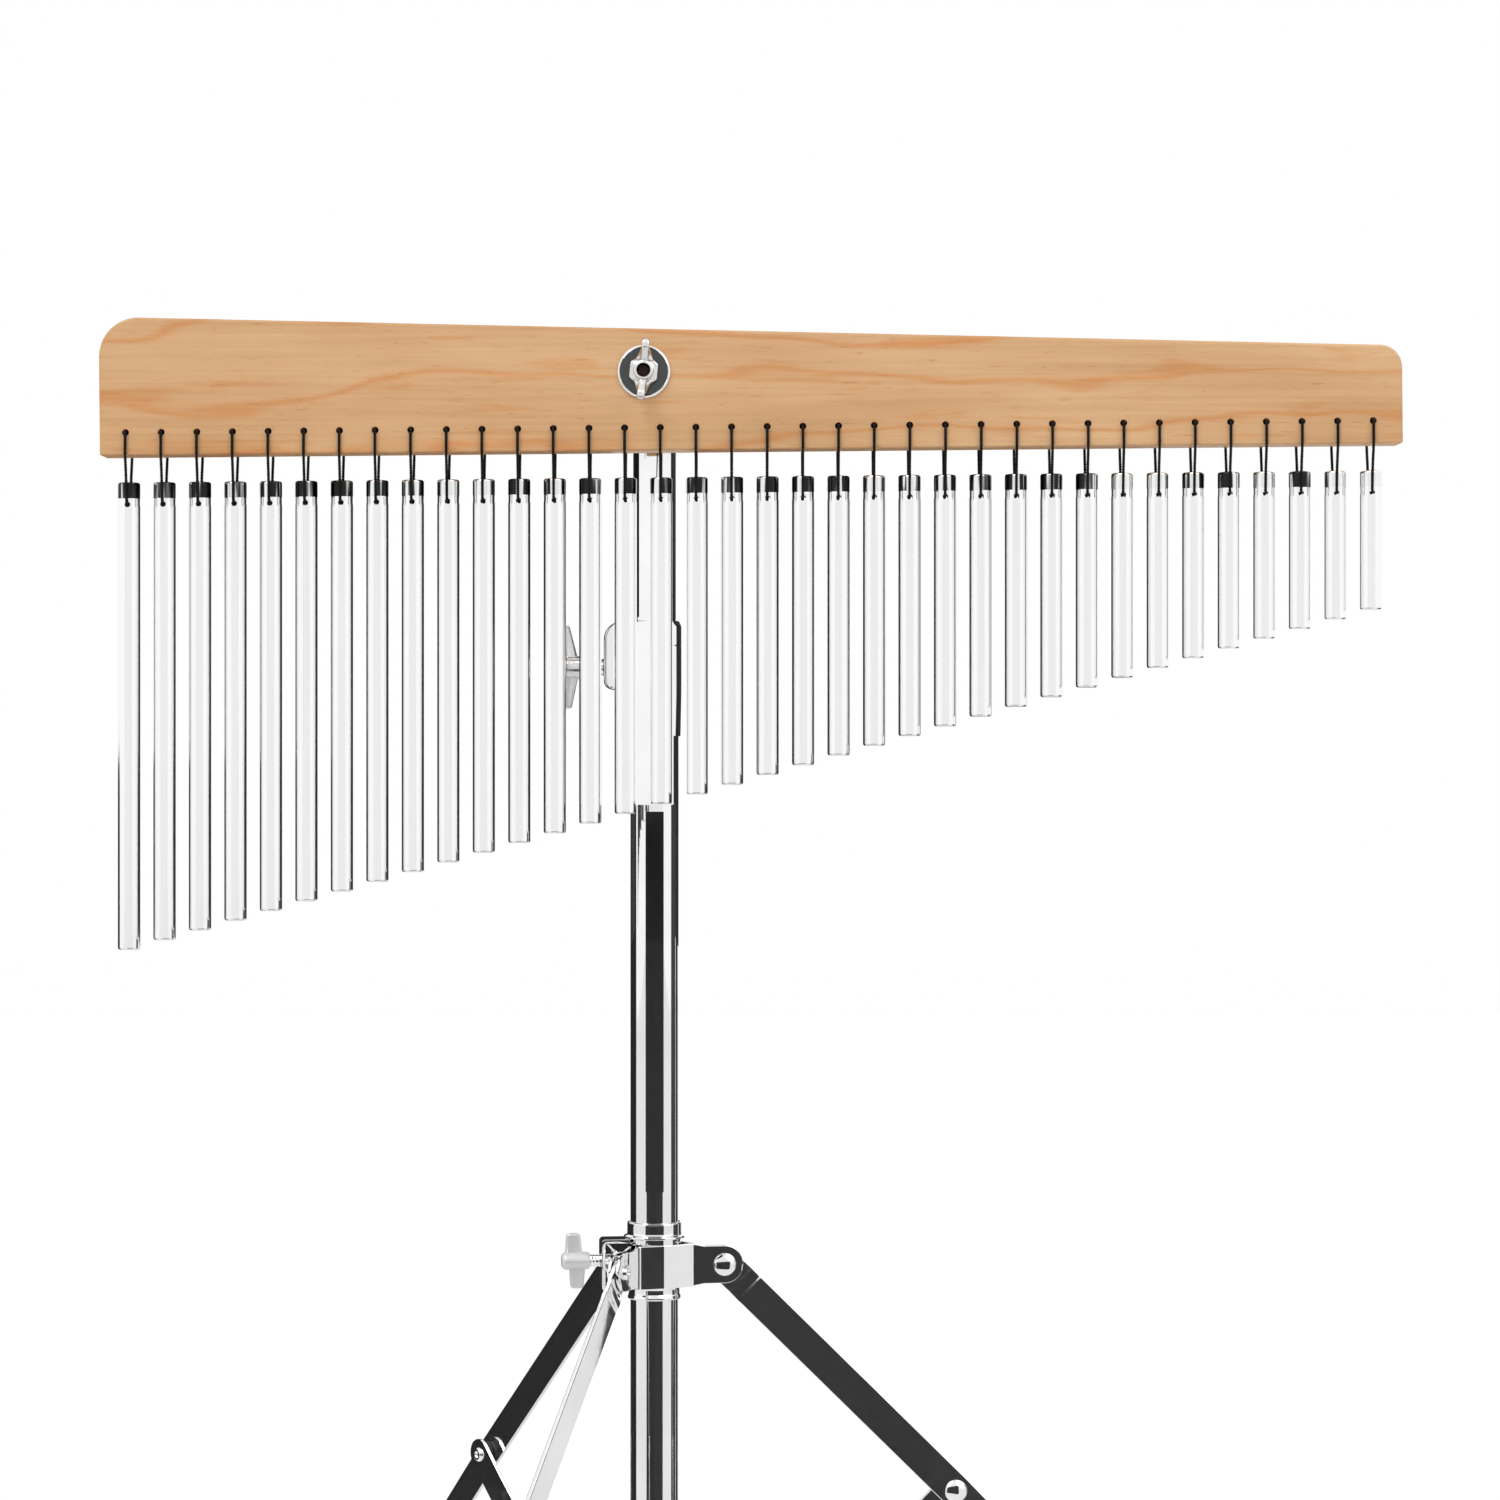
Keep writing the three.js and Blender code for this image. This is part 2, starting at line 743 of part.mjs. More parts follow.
function legHub() {
  const bandRadius = slidingBore + hubWall;
  const neckRadius = slidingBore + hubNeckWall;
  const body = turned([
    [0, hubBottom],
    [slidingBore + hubFootWall, hubBottom],
    [slidingBore + hubFootWall, bandBottom],
    [bandRadius, bandBottom],
    [bandRadius, flangeTop - flangeThickness],
    [flangeRadius, flangeTop - flangeThickness],
    [flangeRadius, flangeTop],
    [neckRadius, flangeTop],
    [neckRadius, hubNeckTop],
    [0, hubNeckTop],
  ]);
  body.rotateZ(legAzimuth(0) + Math.PI / tubeSides);
  const ears = legNames.flatMap((_, i) =>
    hubEars().map((piece) => piece.rotateZ(legAzimuth(i))),
  );
  const boltAzimuth = legAzimuth(1.5);
  const inner = slidingBore - 2;
  const frame = (inset, corner, halfWidth) =>
    upright(
      outline(
        [
          [inner, stirrupBottom + inset],
          [stirrupReach - inset, stirrupBottom + inset, corner],
          [stirrupReach - inset, stirrupTop - inset, corner],
          [inner, stirrupTop - inset],
        ],
        3,
      ),
      -halfWidth,
      halfWidth,
    ).rotateZ(boltAzimuth);
  const stirrup = frame(0, 1.6, stirrupWidth / 2);
  const hollow = frame(stirrupThickness, 0.4, stirrupWidth);
  const boltHole = sideDisc(hubBolt.radius + gap, 0, stirrupReach + 1, 12);
  boltHole.translate(0, 0, hubBoltHeight).rotateZ(boltAzimuth);
  const bore = disc(slidingBore, hubBottom - 1, hubNeckTop + 1);
  const solid = joined([body, ...ears, cut(stirrup, [hollow])]);
  return named("leg_hub", cut(solid, [bore, boltHole]), materials.chrome);
}

// The bowed strip inside the stirrup that the hub's wing bolt passes through

function clampStrip() {
  const ends = stirrupReach - stirrupThickness - gap;
  const bottom = stirrupBottom + stirrupThickness + gap;
  const top = stirrupTop - stirrupThickness - gap;
  const middle = (top + bottom) / 2;
  const half = (top - bottom) / 2;
  const steps = 8;
  const points = [];
  for (const inset of [0, clampStripThickness]) {
    const side = [];
    for (let k = 0; k <= steps; k += 1) {
      const across = (2 * k) / steps - 1;
      const bow = clampStripBow * (1 - across * across);
      side.push(new THREE.Vector2(ends - bow - inset, middle + across * half));
    }
    points.push(...(inset ? side.reverse() : side));
  }
  const strip = upright(new THREE.Shape(points), -clampStripWidth / 2, clampStripWidth / 2);
  const hole = sideDisc(hubBolt.radius + gap, 0, stirrupReach, 12).translate(0, 0, hubBoltHeight);
  return named("clamp_strip", cut(strip, [hole]), materials.chrome);
}

// Legs, braces and feet, drawn in a plane through the tube axis with the leg pivot at height 0

function leg(name) {
  const half = legWidth / 2;
  const corners = [
    [-half, -half, half * 0.95],
    [legShoulder / 2, -half, 20],
    [legShoulder, legOffset - half, 20],
    [legLength, legOffset - half, 1],
    [legLength, legOffset + half, 1],
    [legShoulder, legOffset + half, 20],
    [legShoulder / 2, half, 20],
    [-half, half, half * 0.95],
  ].map(([along, above, radius]) => {
    const place = legPoint(along, above);
    return [place.x, place.y, radius];
  });
  const strip = upright(outline(corners, 4), -legHalf, legHalf);
  const pinHole = crossDisc(pinRadius + gap, -legThickness, legThickness, 10);
  const bored = cut(strip, [pinHole.translate(legPivotRadius, 0, 0)]);
  return named("leg_" + name, joined([bored, rivetHead(braceTop, -legHalf)]), materials.chrome);
}

const braceFront = legHalf + gap;
const braceBack = braceFront + braceThickness;

function brace(name) {
  const strip = upright(stripOutline(braceTop, braceFoot, braceWidth), braceFront, braceBack);
  const forkFront = braceBack + braceForkGap;
  const forkBack = forkFront + braceThickness;
  const slope = Math.atan2(braceFoot.y - braceTop.y, braceFoot.x - braceTop.x);
  const side = new THREE.Shape([
    new THREE.Vector2(-braceWidth, forkFront),
    new THREE.Vector2(braceForkStraight, forkFront),
    new THREE.Vector2(braceForkBend, braceFront + 0.1),
    new THREE.Vector2(braceForkBend + 3, braceFront + 0.1),
    new THREE.Vector2(braceForkBend + 3, braceBack),
    new THREE.Vector2(braceForkBend + 1, braceBack),
    new THREE.Vector2(braceForkStraight + 1, forkBack),
    new THREE.Vector2(-braceWidth, forkBack),
  ]);
  const bentPlate = flat(side, -braceWidth, braceWidth).rotateY(-slope);
  bentPlate.translate(braceTop.x, 0, braceTop.y);
  const ends = stripOutline(braceTop, braceFoot, braceWidth);
  const fork = common(bentPlate, upright(ends, braceFront, forkBack + 1));
  const pin = crossDisc(pinRadius, braceFront + 0.5, forkBack, 10);
  const tail = crossDisc(rivetTailRadius, forkBack - 0.5, forkBack + rivetTailHeight, 10);
  const rivets = [pin, tail].map((piece) => piece.translate(braceTop.x, 0, braceTop.y));
  const pinHole = crossDisc(pinRadius + gap, 0, forkBack, 10).translate(braceFoot.x, 0, braceFoot.y);
  return named("brace_" + name, cut(joined([strip, fork, ...rivets]), [pinHole]), materials.chrome);
}

function foot(name) {
  const half = legWidth / 2 + footWall;
  const heel = legPoint(legLength - footCover, legOffset - half);
  const instep = legPoint(legLength - footCover, legOffset + half);
  const end = legPoint(legLength, legOffset);
  const floor = -hubHeight;
  const shape = outline(
    [
      [heel.x, heel.y, 2],
      [end.x - footHeel, floor, 1],
      [end.x + footToe, floor, 2],
      [end.x + footToe, floor + footToe, 3],
      [instep.x, instep.y, 2],
    ],
    3,
  );
  const boot = upright(shape, -legHalf - gap - footWall, legHalf + gap + footWall);
  const slotHalf = legWidth / 2 + gap;
  const slotCorners = [
    [legLength - footCover - 5, legOffset - slotHalf],
    [legLength + gap, legOffset - slotHalf],
    [legLength + gap, legOffset + slotHalf],
    [legLength - footCover - 5, legOffset + slotHalf],
  ].map(([along, above]) => legPoint(along, above));
  const slot = upright(new THREE.Shape(slotCorners), -legHalf - gap, legHalf + gap);
  return named("foot_" + name, cut(boot, [slot]), materials.rubber);
}

// Lower collar: fixed at the foot of the main tube, with one ear and one pin for each brace

function lowerCollar() {
  const half = lowerCollarHeight / 2;
  const body = disc(slidingBore + lowerCollarWall, -half, half);
  const earFront = braceBack + gap;
  const earBack = earFront + earThickness;
  const earHalf = lowerEarHeight / 2;
  const reach = legPivotRadius + earHalf;
  const root = slidingBore - 1;
  const shape = outline(
    [
      [root, -earHalf],
      [reach, -earHalf, earHalf * 0.98],
      [reach, earHalf, earHalf * 0.98],
      [root, earHalf],
    ],
    6,
  );
  const ears = legNames.flatMap((_, i) => {
    const ear = upright(shape, earFront, earBack);
    const pin = crossDisc(pinRadius, braceFront - gap - 0.5, earFront + 0.5, 10);
    const tail = crossDisc(rivetTailRadius, braceFront - gap - rivetTailHeight, braceFront - gap, 10);
    const head = crossDisc(rivetTailRadius, earBack - 0.5, earBack + rivetTailHeight, 10);
    const pins = [pin, tail, head].map((piece) => piece.translate(legPivotRadius, 0, 0));
    return [ear, ...pins].map((piece) => piece.translate(0, legPlaneShift, 0).rotateZ(legAzimuth(i)));
  });
  const bore = disc(slidingBore, -half - 1, half + 1);
  return named("lower_collar", cut(joined([body, ...ears]), [bore]), materials.chrome);
}

// Assembly about the tube axis

const stand = new THREE.Group();
stand.add(mainTube(), upperTube(), heightCollar(), collarBushing(), heightWingBolt());

const hub = new THREE.Group();
hub.position.z = hubHeight;
hub.add(legHub());
const hubClamp = new THREE.Group();
hubClamp.rotation.z = legAzimuth(1.5);
hubClamp.add(hubWingBolt(), clampStrip());
hub.add(hubClamp);
legNames.forEach((name, i) => {
  const side = new THREE.Group();
  side.rotation.z = legAzimuth(i);
  side.translateY(legPlaneShift);
  side.add(leg(name), brace(name), foot(name));
  hub.add(side);
});
stand.add(hub);

const collar = lowerCollar();
collar.position.z = lowerCollarHeightAboveFloor;
stand.add(collar);

beamFrame.add(beam(), beamWasher(), beamWingNut(), beamBolt(), beamBracket());
stand.add(beamFrame, hangingCord());
for (let i = 0; i < barCount; i += 1) stand.add(bar(i));

// Origin: the middle of the footprint, on the floor

const soundTree = new THREE.Group();
soundTree.add(stand);
soundTree.updateMatrixWorld(true);
const bounds = new THREE.Box3().setFromObject(stand, true);
const centre = bounds.getCenter(new THREE.Vector3());
stand.position.set(-centre.x, -centre.y, -bounds.min.z);

export default soundTree;
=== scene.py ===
"""Sound tree: polished bars on a laced cord below a wooden beam, on a chromed folding tripod."""

from math import acos, atan2, cos, pi, radians, sin, sqrt, tan

import bmesh
import bpy
from mathutils import Matrix, Vector


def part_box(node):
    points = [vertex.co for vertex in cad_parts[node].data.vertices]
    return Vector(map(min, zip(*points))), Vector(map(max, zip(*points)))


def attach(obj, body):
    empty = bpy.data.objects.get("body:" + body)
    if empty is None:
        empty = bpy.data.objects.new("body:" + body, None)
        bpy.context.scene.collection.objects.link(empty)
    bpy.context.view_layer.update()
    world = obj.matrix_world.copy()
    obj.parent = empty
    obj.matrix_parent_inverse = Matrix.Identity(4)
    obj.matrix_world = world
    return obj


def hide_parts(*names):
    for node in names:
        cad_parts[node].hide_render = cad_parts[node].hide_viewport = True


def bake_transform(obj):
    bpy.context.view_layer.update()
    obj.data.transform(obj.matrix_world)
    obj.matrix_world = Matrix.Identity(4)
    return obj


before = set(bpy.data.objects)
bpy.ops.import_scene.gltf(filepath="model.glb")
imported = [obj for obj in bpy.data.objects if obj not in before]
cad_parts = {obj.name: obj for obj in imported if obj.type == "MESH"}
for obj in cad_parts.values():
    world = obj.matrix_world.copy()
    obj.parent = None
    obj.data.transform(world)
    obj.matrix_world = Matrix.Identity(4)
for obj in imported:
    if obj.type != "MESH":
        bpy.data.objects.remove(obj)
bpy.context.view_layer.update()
scene = bpy.context.scene

MM = 0.001
FULL_TURN = 2 * pi
BARS = ["bar_%02d" % (i + 1) for i in range(36)]
LEGS = ["right", "rear", "front"]
LEG_AZIMUTH = {name: radians(7.6 + 120 * i) for i, name in enumerate(LEGS)}
HUB_BOLT_AZIMUTH = radians(187.6)

# Measures in millimetres
BORE = 11.3  # radius inside what slides on the main tube
M6_HOLE = 3.3
M8_HOLE = 4.3
HUB_BOLT_RISE = 2.2  # above the hub's pivots
LEG_SHIFT = -2.7  # a leg's plane stands this far beside the stand's axis
PIVOT = 31.7  # from the stand's axis to the legs' pivots
EAR = 8.6  # half height of the hub's ears, and their reach beyond the pivot
LEG_LENGTH = 392
LEG_LINE = 4.3  # a leg's middle stands this far above the line through its pivot
STRIP_WIDTH = 15
EAR_GAP = 1.3  # half the gap between two ears
BEAM_LEFT = -244.6  # from the beam's bolt, like the next ones
BEAM_LENGTH = 585
BEAM_HALF = 9
BEAM_EDGE_Z = -35.3
CORD_HOLE_Z = BEAM_EDGE_Z + 10.2
BAR_PITCH = 16
BAR_RADIUS = 5
CROSS_HOLE = 10  # below a bar's top


def box(node):
    """The node's lowest and highest corners in millimetres."""
    low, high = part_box(node)
    return Vector(low) / MM, Vector(high) / MM


def middle(node):
    low, high = box(node)
    return (low + high) / 2


def heights(node):
    low, high = box(node)
    return low.z, high.z


tube_x, tube_y = middle("main_tube")[:2]
main_bottom, main_top = heights("main_tube")
upper_bottom, upper_top = heights("upper_tube")
collar_low, collar_high = heights("height_collar")
hub_z = heights("leg_hub")[0] + 15.4
lower_z = middle("lower_collar").z
bolt = Vector((middle("beam_washer").x, middle("beam").y, middle("beam_washer").z))
height_bolt_z = middle("height_wing_bolt").z
TUBE = Matrix.Translation((tube_x, tube_y, 0))
BEAM = Matrix.Translation(bolt) @ Matrix.Rotation(radians(-0.55), 4, "Y")
HUB = TUBE @ Matrix.Translation((0, 0, hub_z))


# Mesh helpers. All shapes are given in millimetres, and new_object scales them to metres.


def linked(name, data):
    obj = bpy.data.objects.new(name, data)
    scene.collection.objects.link(obj)
    return obj


def discard(obj):
    mesh = obj.data
    bpy.data.objects.remove(obj)
    bpy.data.meshes.remove(mesh)


def shade(mesh, sharp):
    mesh.shade_smooth()
    mesh.set_sharp_from_angle(angle=radians(sharp))


def weight_normals(obj):
    modifier = obj.modifiers.new("weights", "WEIGHTED_NORMAL")
    modifier.keep_sharp = True
    return obj


def new_object(name, verts, faces, place=None, smooth=True, sharp=35, material=None):
    mesh = bpy.data.meshes.new(name)
    mesh.from_pydata([tuple(v) for v in verts], [], faces)
    mesh.update()
    obj = linked(name, mesh)
    mesh.transform(Matrix.Scale(MM, 4) @ (place or Matrix.Identity(4)))
    bm = bmesh.new()
    bm.from_mesh(mesh)
    bmesh.ops.recalc_face_normals(bm, faces=bm.faces)
    bm.to_mesh(mesh)
    bm.free()
    if smooth:
        shade(mesh, sharp)
    if material:
        mesh.materials.append(material)
    return obj


def ring_faces(rings, count, base=0, flip=False):
    """Faces between rings of count vertices each, and one over either end."""
    last = base + (rings - 1) * count
    faces = []
    for a in range(base, last, count):
        for k in range(count):
            n = (k + 1) % count
            faces.append((a + k, a + n, a + count + n, a + count + k))
    ends = [tuple(range(a, a + count)) for a in (base, last)]
    ends[not flip] = ends[not flip][::-1]
    return faces + ends


def lathe_data(profile, sides):
    """Vertices and faces of a (radius, height) profile, closed or from axis to axis, turned about Z."""
    closed = profile[0] == profile[-1]
    verts, rows, faces = [], [], []
    for radius, height in profile[:-1] if closed else profile:
        count = sides if radius > 1e-6 else 1
        rows.append(range(len(verts), len(verts) + count))
        for k in range(count):
            angle = FULL_TURN * k / sides
            verts.append((radius * cos(angle), radius * sin(angle), height))
    for low, high in zip(rows, rows[1:] + rows[:closed]):
        for k in range(sides):
            n = (k + 1) % sides
            corners = low[k % len(low)], low[n % len(low)], high[n % len(high)], high[k % len(high)]
            faces.append(tuple(dict.fromkeys(corners)))
    return verts, faces


def rounded(profile, radius):
    """Rounds each inner corner of an open or closed (radius, height) profile."""
    steps = 3
    closed = profile[0] == profile[-1]
    points = [Vector(p) for p in (profile[:-1] if closed else profile)]
    out = []
    for i, point in enumerate(points):
        if not closed and i in (0, len(points) - 1):
            out.append(tuple(point))
            continue
        to_before, to_after = points[i - 1] - point, points[(i + 1) % len(points)] - point
        reach = min(radius, to_before.length * 0.45, to_after.length * 0.45)
        start = point + to_before.normalized() * reach
        end = point + to_after.normalized() * reach
        for k in range(steps + 1):
            t = k / steps
            out.append(tuple(start * (1 - t) ** 2 + point * 2 * t * (1 - t) + end * t**2))
    if closed:
        out.append(out[0])
    return out


def lathe(name, profile, sides, place, round_by, material):
    verts, faces = lathe_data(rounded(profile, round_by), sides)
    return weight_normals(new_object(name, verts, faces, place, sharp=50, material=material))


def along_x(name, profile, sides, place, level=0, way=-1, material=None, sharp=35):
    """A lathed shape whose axis runs along X at the level."""
    verts, faces = lathe_data(profile, sides)
    verts = [(z, y, level + way * x) for x, y, z in verts]
    return new_object(name, verts, faces, place, sharp=sharp, material=material)


def along_y(name, profile, sides, place, at=(0, 0, 0), way=1, material=None, sharp=35):
    """A lathed shape whose axis runs along Y through a point, or against Y where way is -1."""
    verts, faces = lathe_data(profile, sides)
    verts = [(at[0] + x, at[1] + way * z, at[2] + y) for x, y, z in verts]
    return new_object(name, verts, faces, place, sharp=sharp, material=material)


def tube_profile(inner, outer, low, high):
    return [(inner, low), (outer, low), (outer, high), (inner, high), (inner, low)]


def solid_profile(radius, low, high):
    return [(0, low), (radius, low), (radius, high), (0, high)]


def outline(corners, steps=6):
    """A closed 2-D outline through (x, y, radius) corners, run anticlockwise."""
    count = len(corners)
    points = []
    for i, corner in enumerate(corners):
        spot = Vector(corner[:2])
        radius = corner[2] if len(corner) > 2 else 0
        if not radius:
            points.append(spot)
            continue
        back = (Vector(corners[i - 1][:2]) - spot).normalized()
        on = (Vector(corners[(i + 1) % count][:2]) - spot).normalized()
        half = acos(max(-1, min(1, back.dot(on)))) / 2
        centre = spot + (back + on).normalized() * radius / sin(half)
        first = spot + back * radius / tan(half) - centre
        cross = back.x * on.y - back.y * on.x
        turn = (pi - 2 * half) * (-1 if cross > 0 else 1)
        for k in range(steps + 1):
            points.append(centre + Matrix.Rotation(turn * k / steps, 2) @ first)
    area = sum(a.x * b.y - b.x * a.y for a, b in zip(points, points[1:] + points[:1]))
    return points if area > 0 else points[::-1]


def inset(points, by):
    """The outline moved inwards by a small amount."""
    count = len(points)
    out = []
    for i, point in enumerate(points):
        back = (point - points[i - 1]).normalized()
        on = (points[(i + 1) % count] - point).normalized()
        normal_a = Vector((-back.y, back.x))
        normal_b = Vector((-on.y, on.x))
        middle_normal = (normal_a + normal_b).normalized()
        out.append(point + middle_normal * by / max(0.3, middle_normal.dot(normal_a)))
    return out


def plate(name, points, front, back, place, edge, material=None):
    """A plate of a 2-D outline (x, z) from y = front to y = back with rounded edges."""
    levels = [(front, edge), (front + 0.3 * edge, 0.3 * edge), (front + edge, 0)]
    levels += [(back - edge, 0), (back - 0.3 * edge, 0.3 * edge), (back, edge)]
    verts = []
    for depth, by in levels:
        verts += [(p.x, depth, p.y) for p in (inset(points, by) if by else points)]
    faces = ring_faces(len(levels), len(points))
    return weight_normals(new_object(name, verts, faces, place, sharp=60, material=material))


def apply_modifiers(obj):
    """Bakes the object's modifiers into its mesh."""
    graph = bpy.context.evaluated_depsgraph_get()
    mesh = bpy.data.meshes.new_from_object(obj.evaluated_get(graph))
    old = obj.data
    obj.modifiers.clear()
    obj.data = mesh
    bpy.data.meshes.remove(old)


def combine(target, others, operation="UNION", sharp=40):
    """Adds the other closed meshes to the target, or cuts them from it."""
    apply_modifiers(target)
    for other in others:
        modifier = target.modifiers.new("combine", "BOOLEAN")
        modifier.operation = operation
        modifier.solver = "EXACT"
        modifier.object = other
    apply_modifiers(target)
    for other in others:
        discard(other)
    mesh = target.data
    bm = bmesh.new()
    bm.from_mesh(mesh)
    bmesh.ops.remove_doubles(bm, verts=bm.verts, dist=2e-6)
    bmesh.ops.dissolve_degenerate(bm, edges=bm.edges, dist=1e-6)
    bm.to_mesh(mesh)
    bm.free()
    shade(mesh, sharp)
    weight_normals(target)


def join(name, objects):
    """One object out of several whose shapes don't meet."""
    bm = bmesh.new()
    materials = []
    for obj in objects:
        apply_modifiers(obj)
        start = len(bm.faces)
        bm.from_mesh(obj.data)
        bm.faces.ensure_lookup_table()
        materials += [m for m in obj.data.materials if m not in materials]
        lookup = [materials.index(m) for m in obj.data.materials]
        for face in bm.faces[start:]:
            face.material_index = lookup[face.material_index] if lookup else 0
    mesh = bpy.data.meshes.new(name)
    bm.to_mesh(mesh)
    bm.free()
    for material in materials:
        mesh.materials.append(material)
    for obj in objects:
        discard(obj)
    shade(mesh, 40)
    return weight_normals(linked(name, mesh))


def spread(start, end, steps):
    """Evenly spaced values from start to end."""
    return [start + (end - start) * k / steps for k in range(steps + 1)]


def lengths_along(path):
    """The distance of each point from the path's start."""
    lengths = [0]
    for a, b in zip(path, path[1:]):
        lengths.append(lengths[-1] + (b - a).length)
    return lengths


def thread_data(path, radius, strand):
    """Two strands twisted about a path of points, each strand's middle the given distance from it."""
    pitch, sides, per_turn = 2.5, 6, 7
    lengths = lengths_along(path)
    total = lengths[-1]
    steps = max(8, int(total / pitch * per_turn))
    spots, frames = [], []
    segment = 0
    for k in range(steps + 1):
        want = total * k / steps
        while segment < len(path) - 2 and lengths[segment + 1] < want:
            segment += 1
        span = lengths[segment + 1] - lengths[segment]
        spots.append(path[segment].lerp(path[segment + 1], (want - lengths[segment]) / span))
    tangents = [(spots[min(k + 2, steps)] - spots[max(k - 2, 0)]).normalized() for k in range(steps + 1)]
    side = tangents[0].orthogonal().normalized()
    for tangent in tangents:
        side = (side - tangent * side.dot(tangent)).normalized()
        frames.append((side, tangent.cross(side)))
    slope = FULL_TURN * strand / pitch
    verts, faces = [], []
    for phase in (0, pi):
        faces += ring_faces(steps + 1, sides, len(verts), flip=True)
        for k, (u, v) in enumerate(frames):
            turn = FULL_TURN * total * k / steps / pitch + phase
            outward = u * cos(turn) + v * sin(turn)
            around = v * cos(turn) - u * sin(turn)
            centre = spots[k] + outward * strand
            cross = (around * slope + tangents[k]).normalized().cross(outward)
            for m in range(sides):
                angle = FULL_TURN * m / sides
                verts.append(centre + (outward * cos(angle) + cross * sin(angle)) * radius)
    return verts, faces


def smooth_path(points):
    """A Catmull-Rom curve through the points."""
    steps = 5
    out = []
    padded = [points[0]] + points + [points[-1]]
    for i in range(1, len(padded) - 2):
        p0, p1, p2, p3 = padded[i - 1 : i + 3]
        for k in range(steps):
            t = k / steps
            a = 2 * p1 + (p2 - p0) * t
            b = (2 * p0 - 5 * p1 + 4 * p2 - p3) * t**2
            c = (3 * p1 - p0 - 3 * p2 + p3) * t**3
            out.append((a + b + c) / 2)
    out.append(points[-1])
    return out


# Materials


def rgba(tone):
    """A colour with its alpha, from (red, green, blue) or from one grey."""
    return (*tone, 1) if isinstance(tone, tuple) else (tone, tone, tone, 1)


class Tree:
    """The nodes of a material or of the world, with short ways to add them."""

    def __init__(self, owner, shader):
        owner.use_nodes = True
        self.nodes, self.links = owner.node_tree.nodes, owner.node_tree.links
        self.shader = self.nodes[shader]

    def fill(self, node, inputs):
        """Sets the node's inputs, each to a value or to another node's output."""
        for name, value in inputs.items():
            socket = node.inputs[name]
            if isinstance(value, bpy.types.NodeSocket):
                self.links.new(value, socket)
            else:
                socket.default_value = rgba(value) if socket.type == "RGBA" else value

    def surface(self, inputs):
        self.fill(self.shader, inputs)

    def add(self, kind, inputs=None, **settings):
        node = self.nodes.new("ShaderNode" + kind)
        for name, value in settings.items():
            setattr(node, name, value)
        self.fill(node, inputs or {})
        return node

    def mapped(self, scale=(1, 1, 1), rotate=(0, 0, 0)):
        coords = self.add("TexCoord").outputs["Object"]
        return self.add("Mapping", {"Scale": scale, "Rotation": rotate, "Vector": coords}).outputs["Vector"]

    def noise(self, vector, scale, detail=4, rough=0.5, distortion=0):
        inputs = {"Scale": scale, "Detail": detail, "Roughness": rough, "Distortion": distortion}
        return self.add("TexNoise", {"Vector": vector, **inputs}).outputs["Fac"]

    def ramp(self, value, stops):
        """A colour ramp of (position, colour or grey) stops."""
        node = self.add("ValToRGB", {"Fac": value})
        elements = node.color_ramp.elements
        while len(elements) < len(stops):
            elements.new(0.5)
        for element, (position, tone) in zip(elements, stops):
            element.position = position
            element.color = rgba(tone)
        return node.outputs["Color"]

    def mix(self, factor, a, b, blend="MULTIPLY"):
        inputs = {"Factor": factor, "A": a, "B": b}
        return self.add("Mix", inputs, data_type="RGBA", blend_type=blend).outputs["Result"]

    def math_node(self, operation, *values):
        return self.add("Math", dict(enumerate(values)), operation=operation).outputs[0]

    def bump(self, height, strength, distance):
        node = self.add("Bump", {"Strength": strength, "Distance": distance, "Height": height})
        self.surface({"Normal": node.outputs["Normal"]})


def material(name, build):
    mat = bpy.data.materials.new(name)
    build(Tree(mat, "Principled BSDF"))
    return mat


def metal(base, low, high, speck_scale=400, bump_strength=0, bump_distance=0.0002, metallic=1):
    """Polished plate: faint handling marks in its roughness and a slight tone change."""

    def build(tree):
        vector = tree.mapped()
        marks = tree.noise(vector, speck_scale, 5, 0.6)
        roughness = tree.ramp(marks, [(0.35, low), (0.7, high)])
        darker = tuple(c * 0.93 for c in base)
        tone = tree.ramp(tree.noise(vector, 35, 3), [(0.3, darker), (0.7, base)])
        tree.surface({"Roughness": roughness, "Base Color": tone, "Metallic": metallic})
        if bump_strength:
            wave = tree.noise(tree.mapped((60, 60, 8)), 1, 3)
            tree.bump(wave, bump_strength, bump_distance)

    return build


chrome = material("chrome_plate", metal((0.95, 0.95, 0.955), 0.02, 0.05))
leg_chrome = material("leg_chrome", metal((0.93, 0.93, 0.935), 0.05, 0.13, 260, 0.15))
cast_nickel = material("cast_nickel", metal((0.8, 0.8, 0.8), 0.12, 0.3, 500, 0.5, 0.0003))
cast_pale = material("cast_pale", metal((0.74, 0.74, 0.74), 0.35, 0.5, 500, 0.4, 0.0003, 0.45))
bar_tip = material("bar_tip_polish", metal((0.9, 0.9, 0.9), 0.02, 0.06, 600))


def reflection_streaks_build(tree):
    """Turned bar tips: a bright metal with a painted reflection, dark uneven lengthwise streaks all round
    that stand in for dark surroundings reflected in the polish.
    """
    marks = tree.noise(tree.mapped(), 600, 5, 0.6)
    roughness = tree.ramp(marks, [(0.35, 0.04), (0.7, 0.12)])
    streaks = tree.noise(tree.mapped((1, 1, 0.04)), 360, 1)
    tone = tree.ramp(streaks, [(0.46, 0.025), (0.52, 0.16), (0.56, 0.85)])
    tree.surface({"Roughness": roughness, "Base Color": tone, "Metallic": 1})


# painted reflection: the dark streaks in this tip colour stand in for reflected dark surroundings
reflection_streaked_tip = material("bar_tip_burnished", reflection_streaks_build)

washer_metal = material("washer_metal", metal((0.085, 0.09, 0.09), 0.2, 0.35, 900))
dark_bolt = material("dark_bolt_steel", metal((0.035, 0.022, 0.022), 0.35, 0.55, 900))


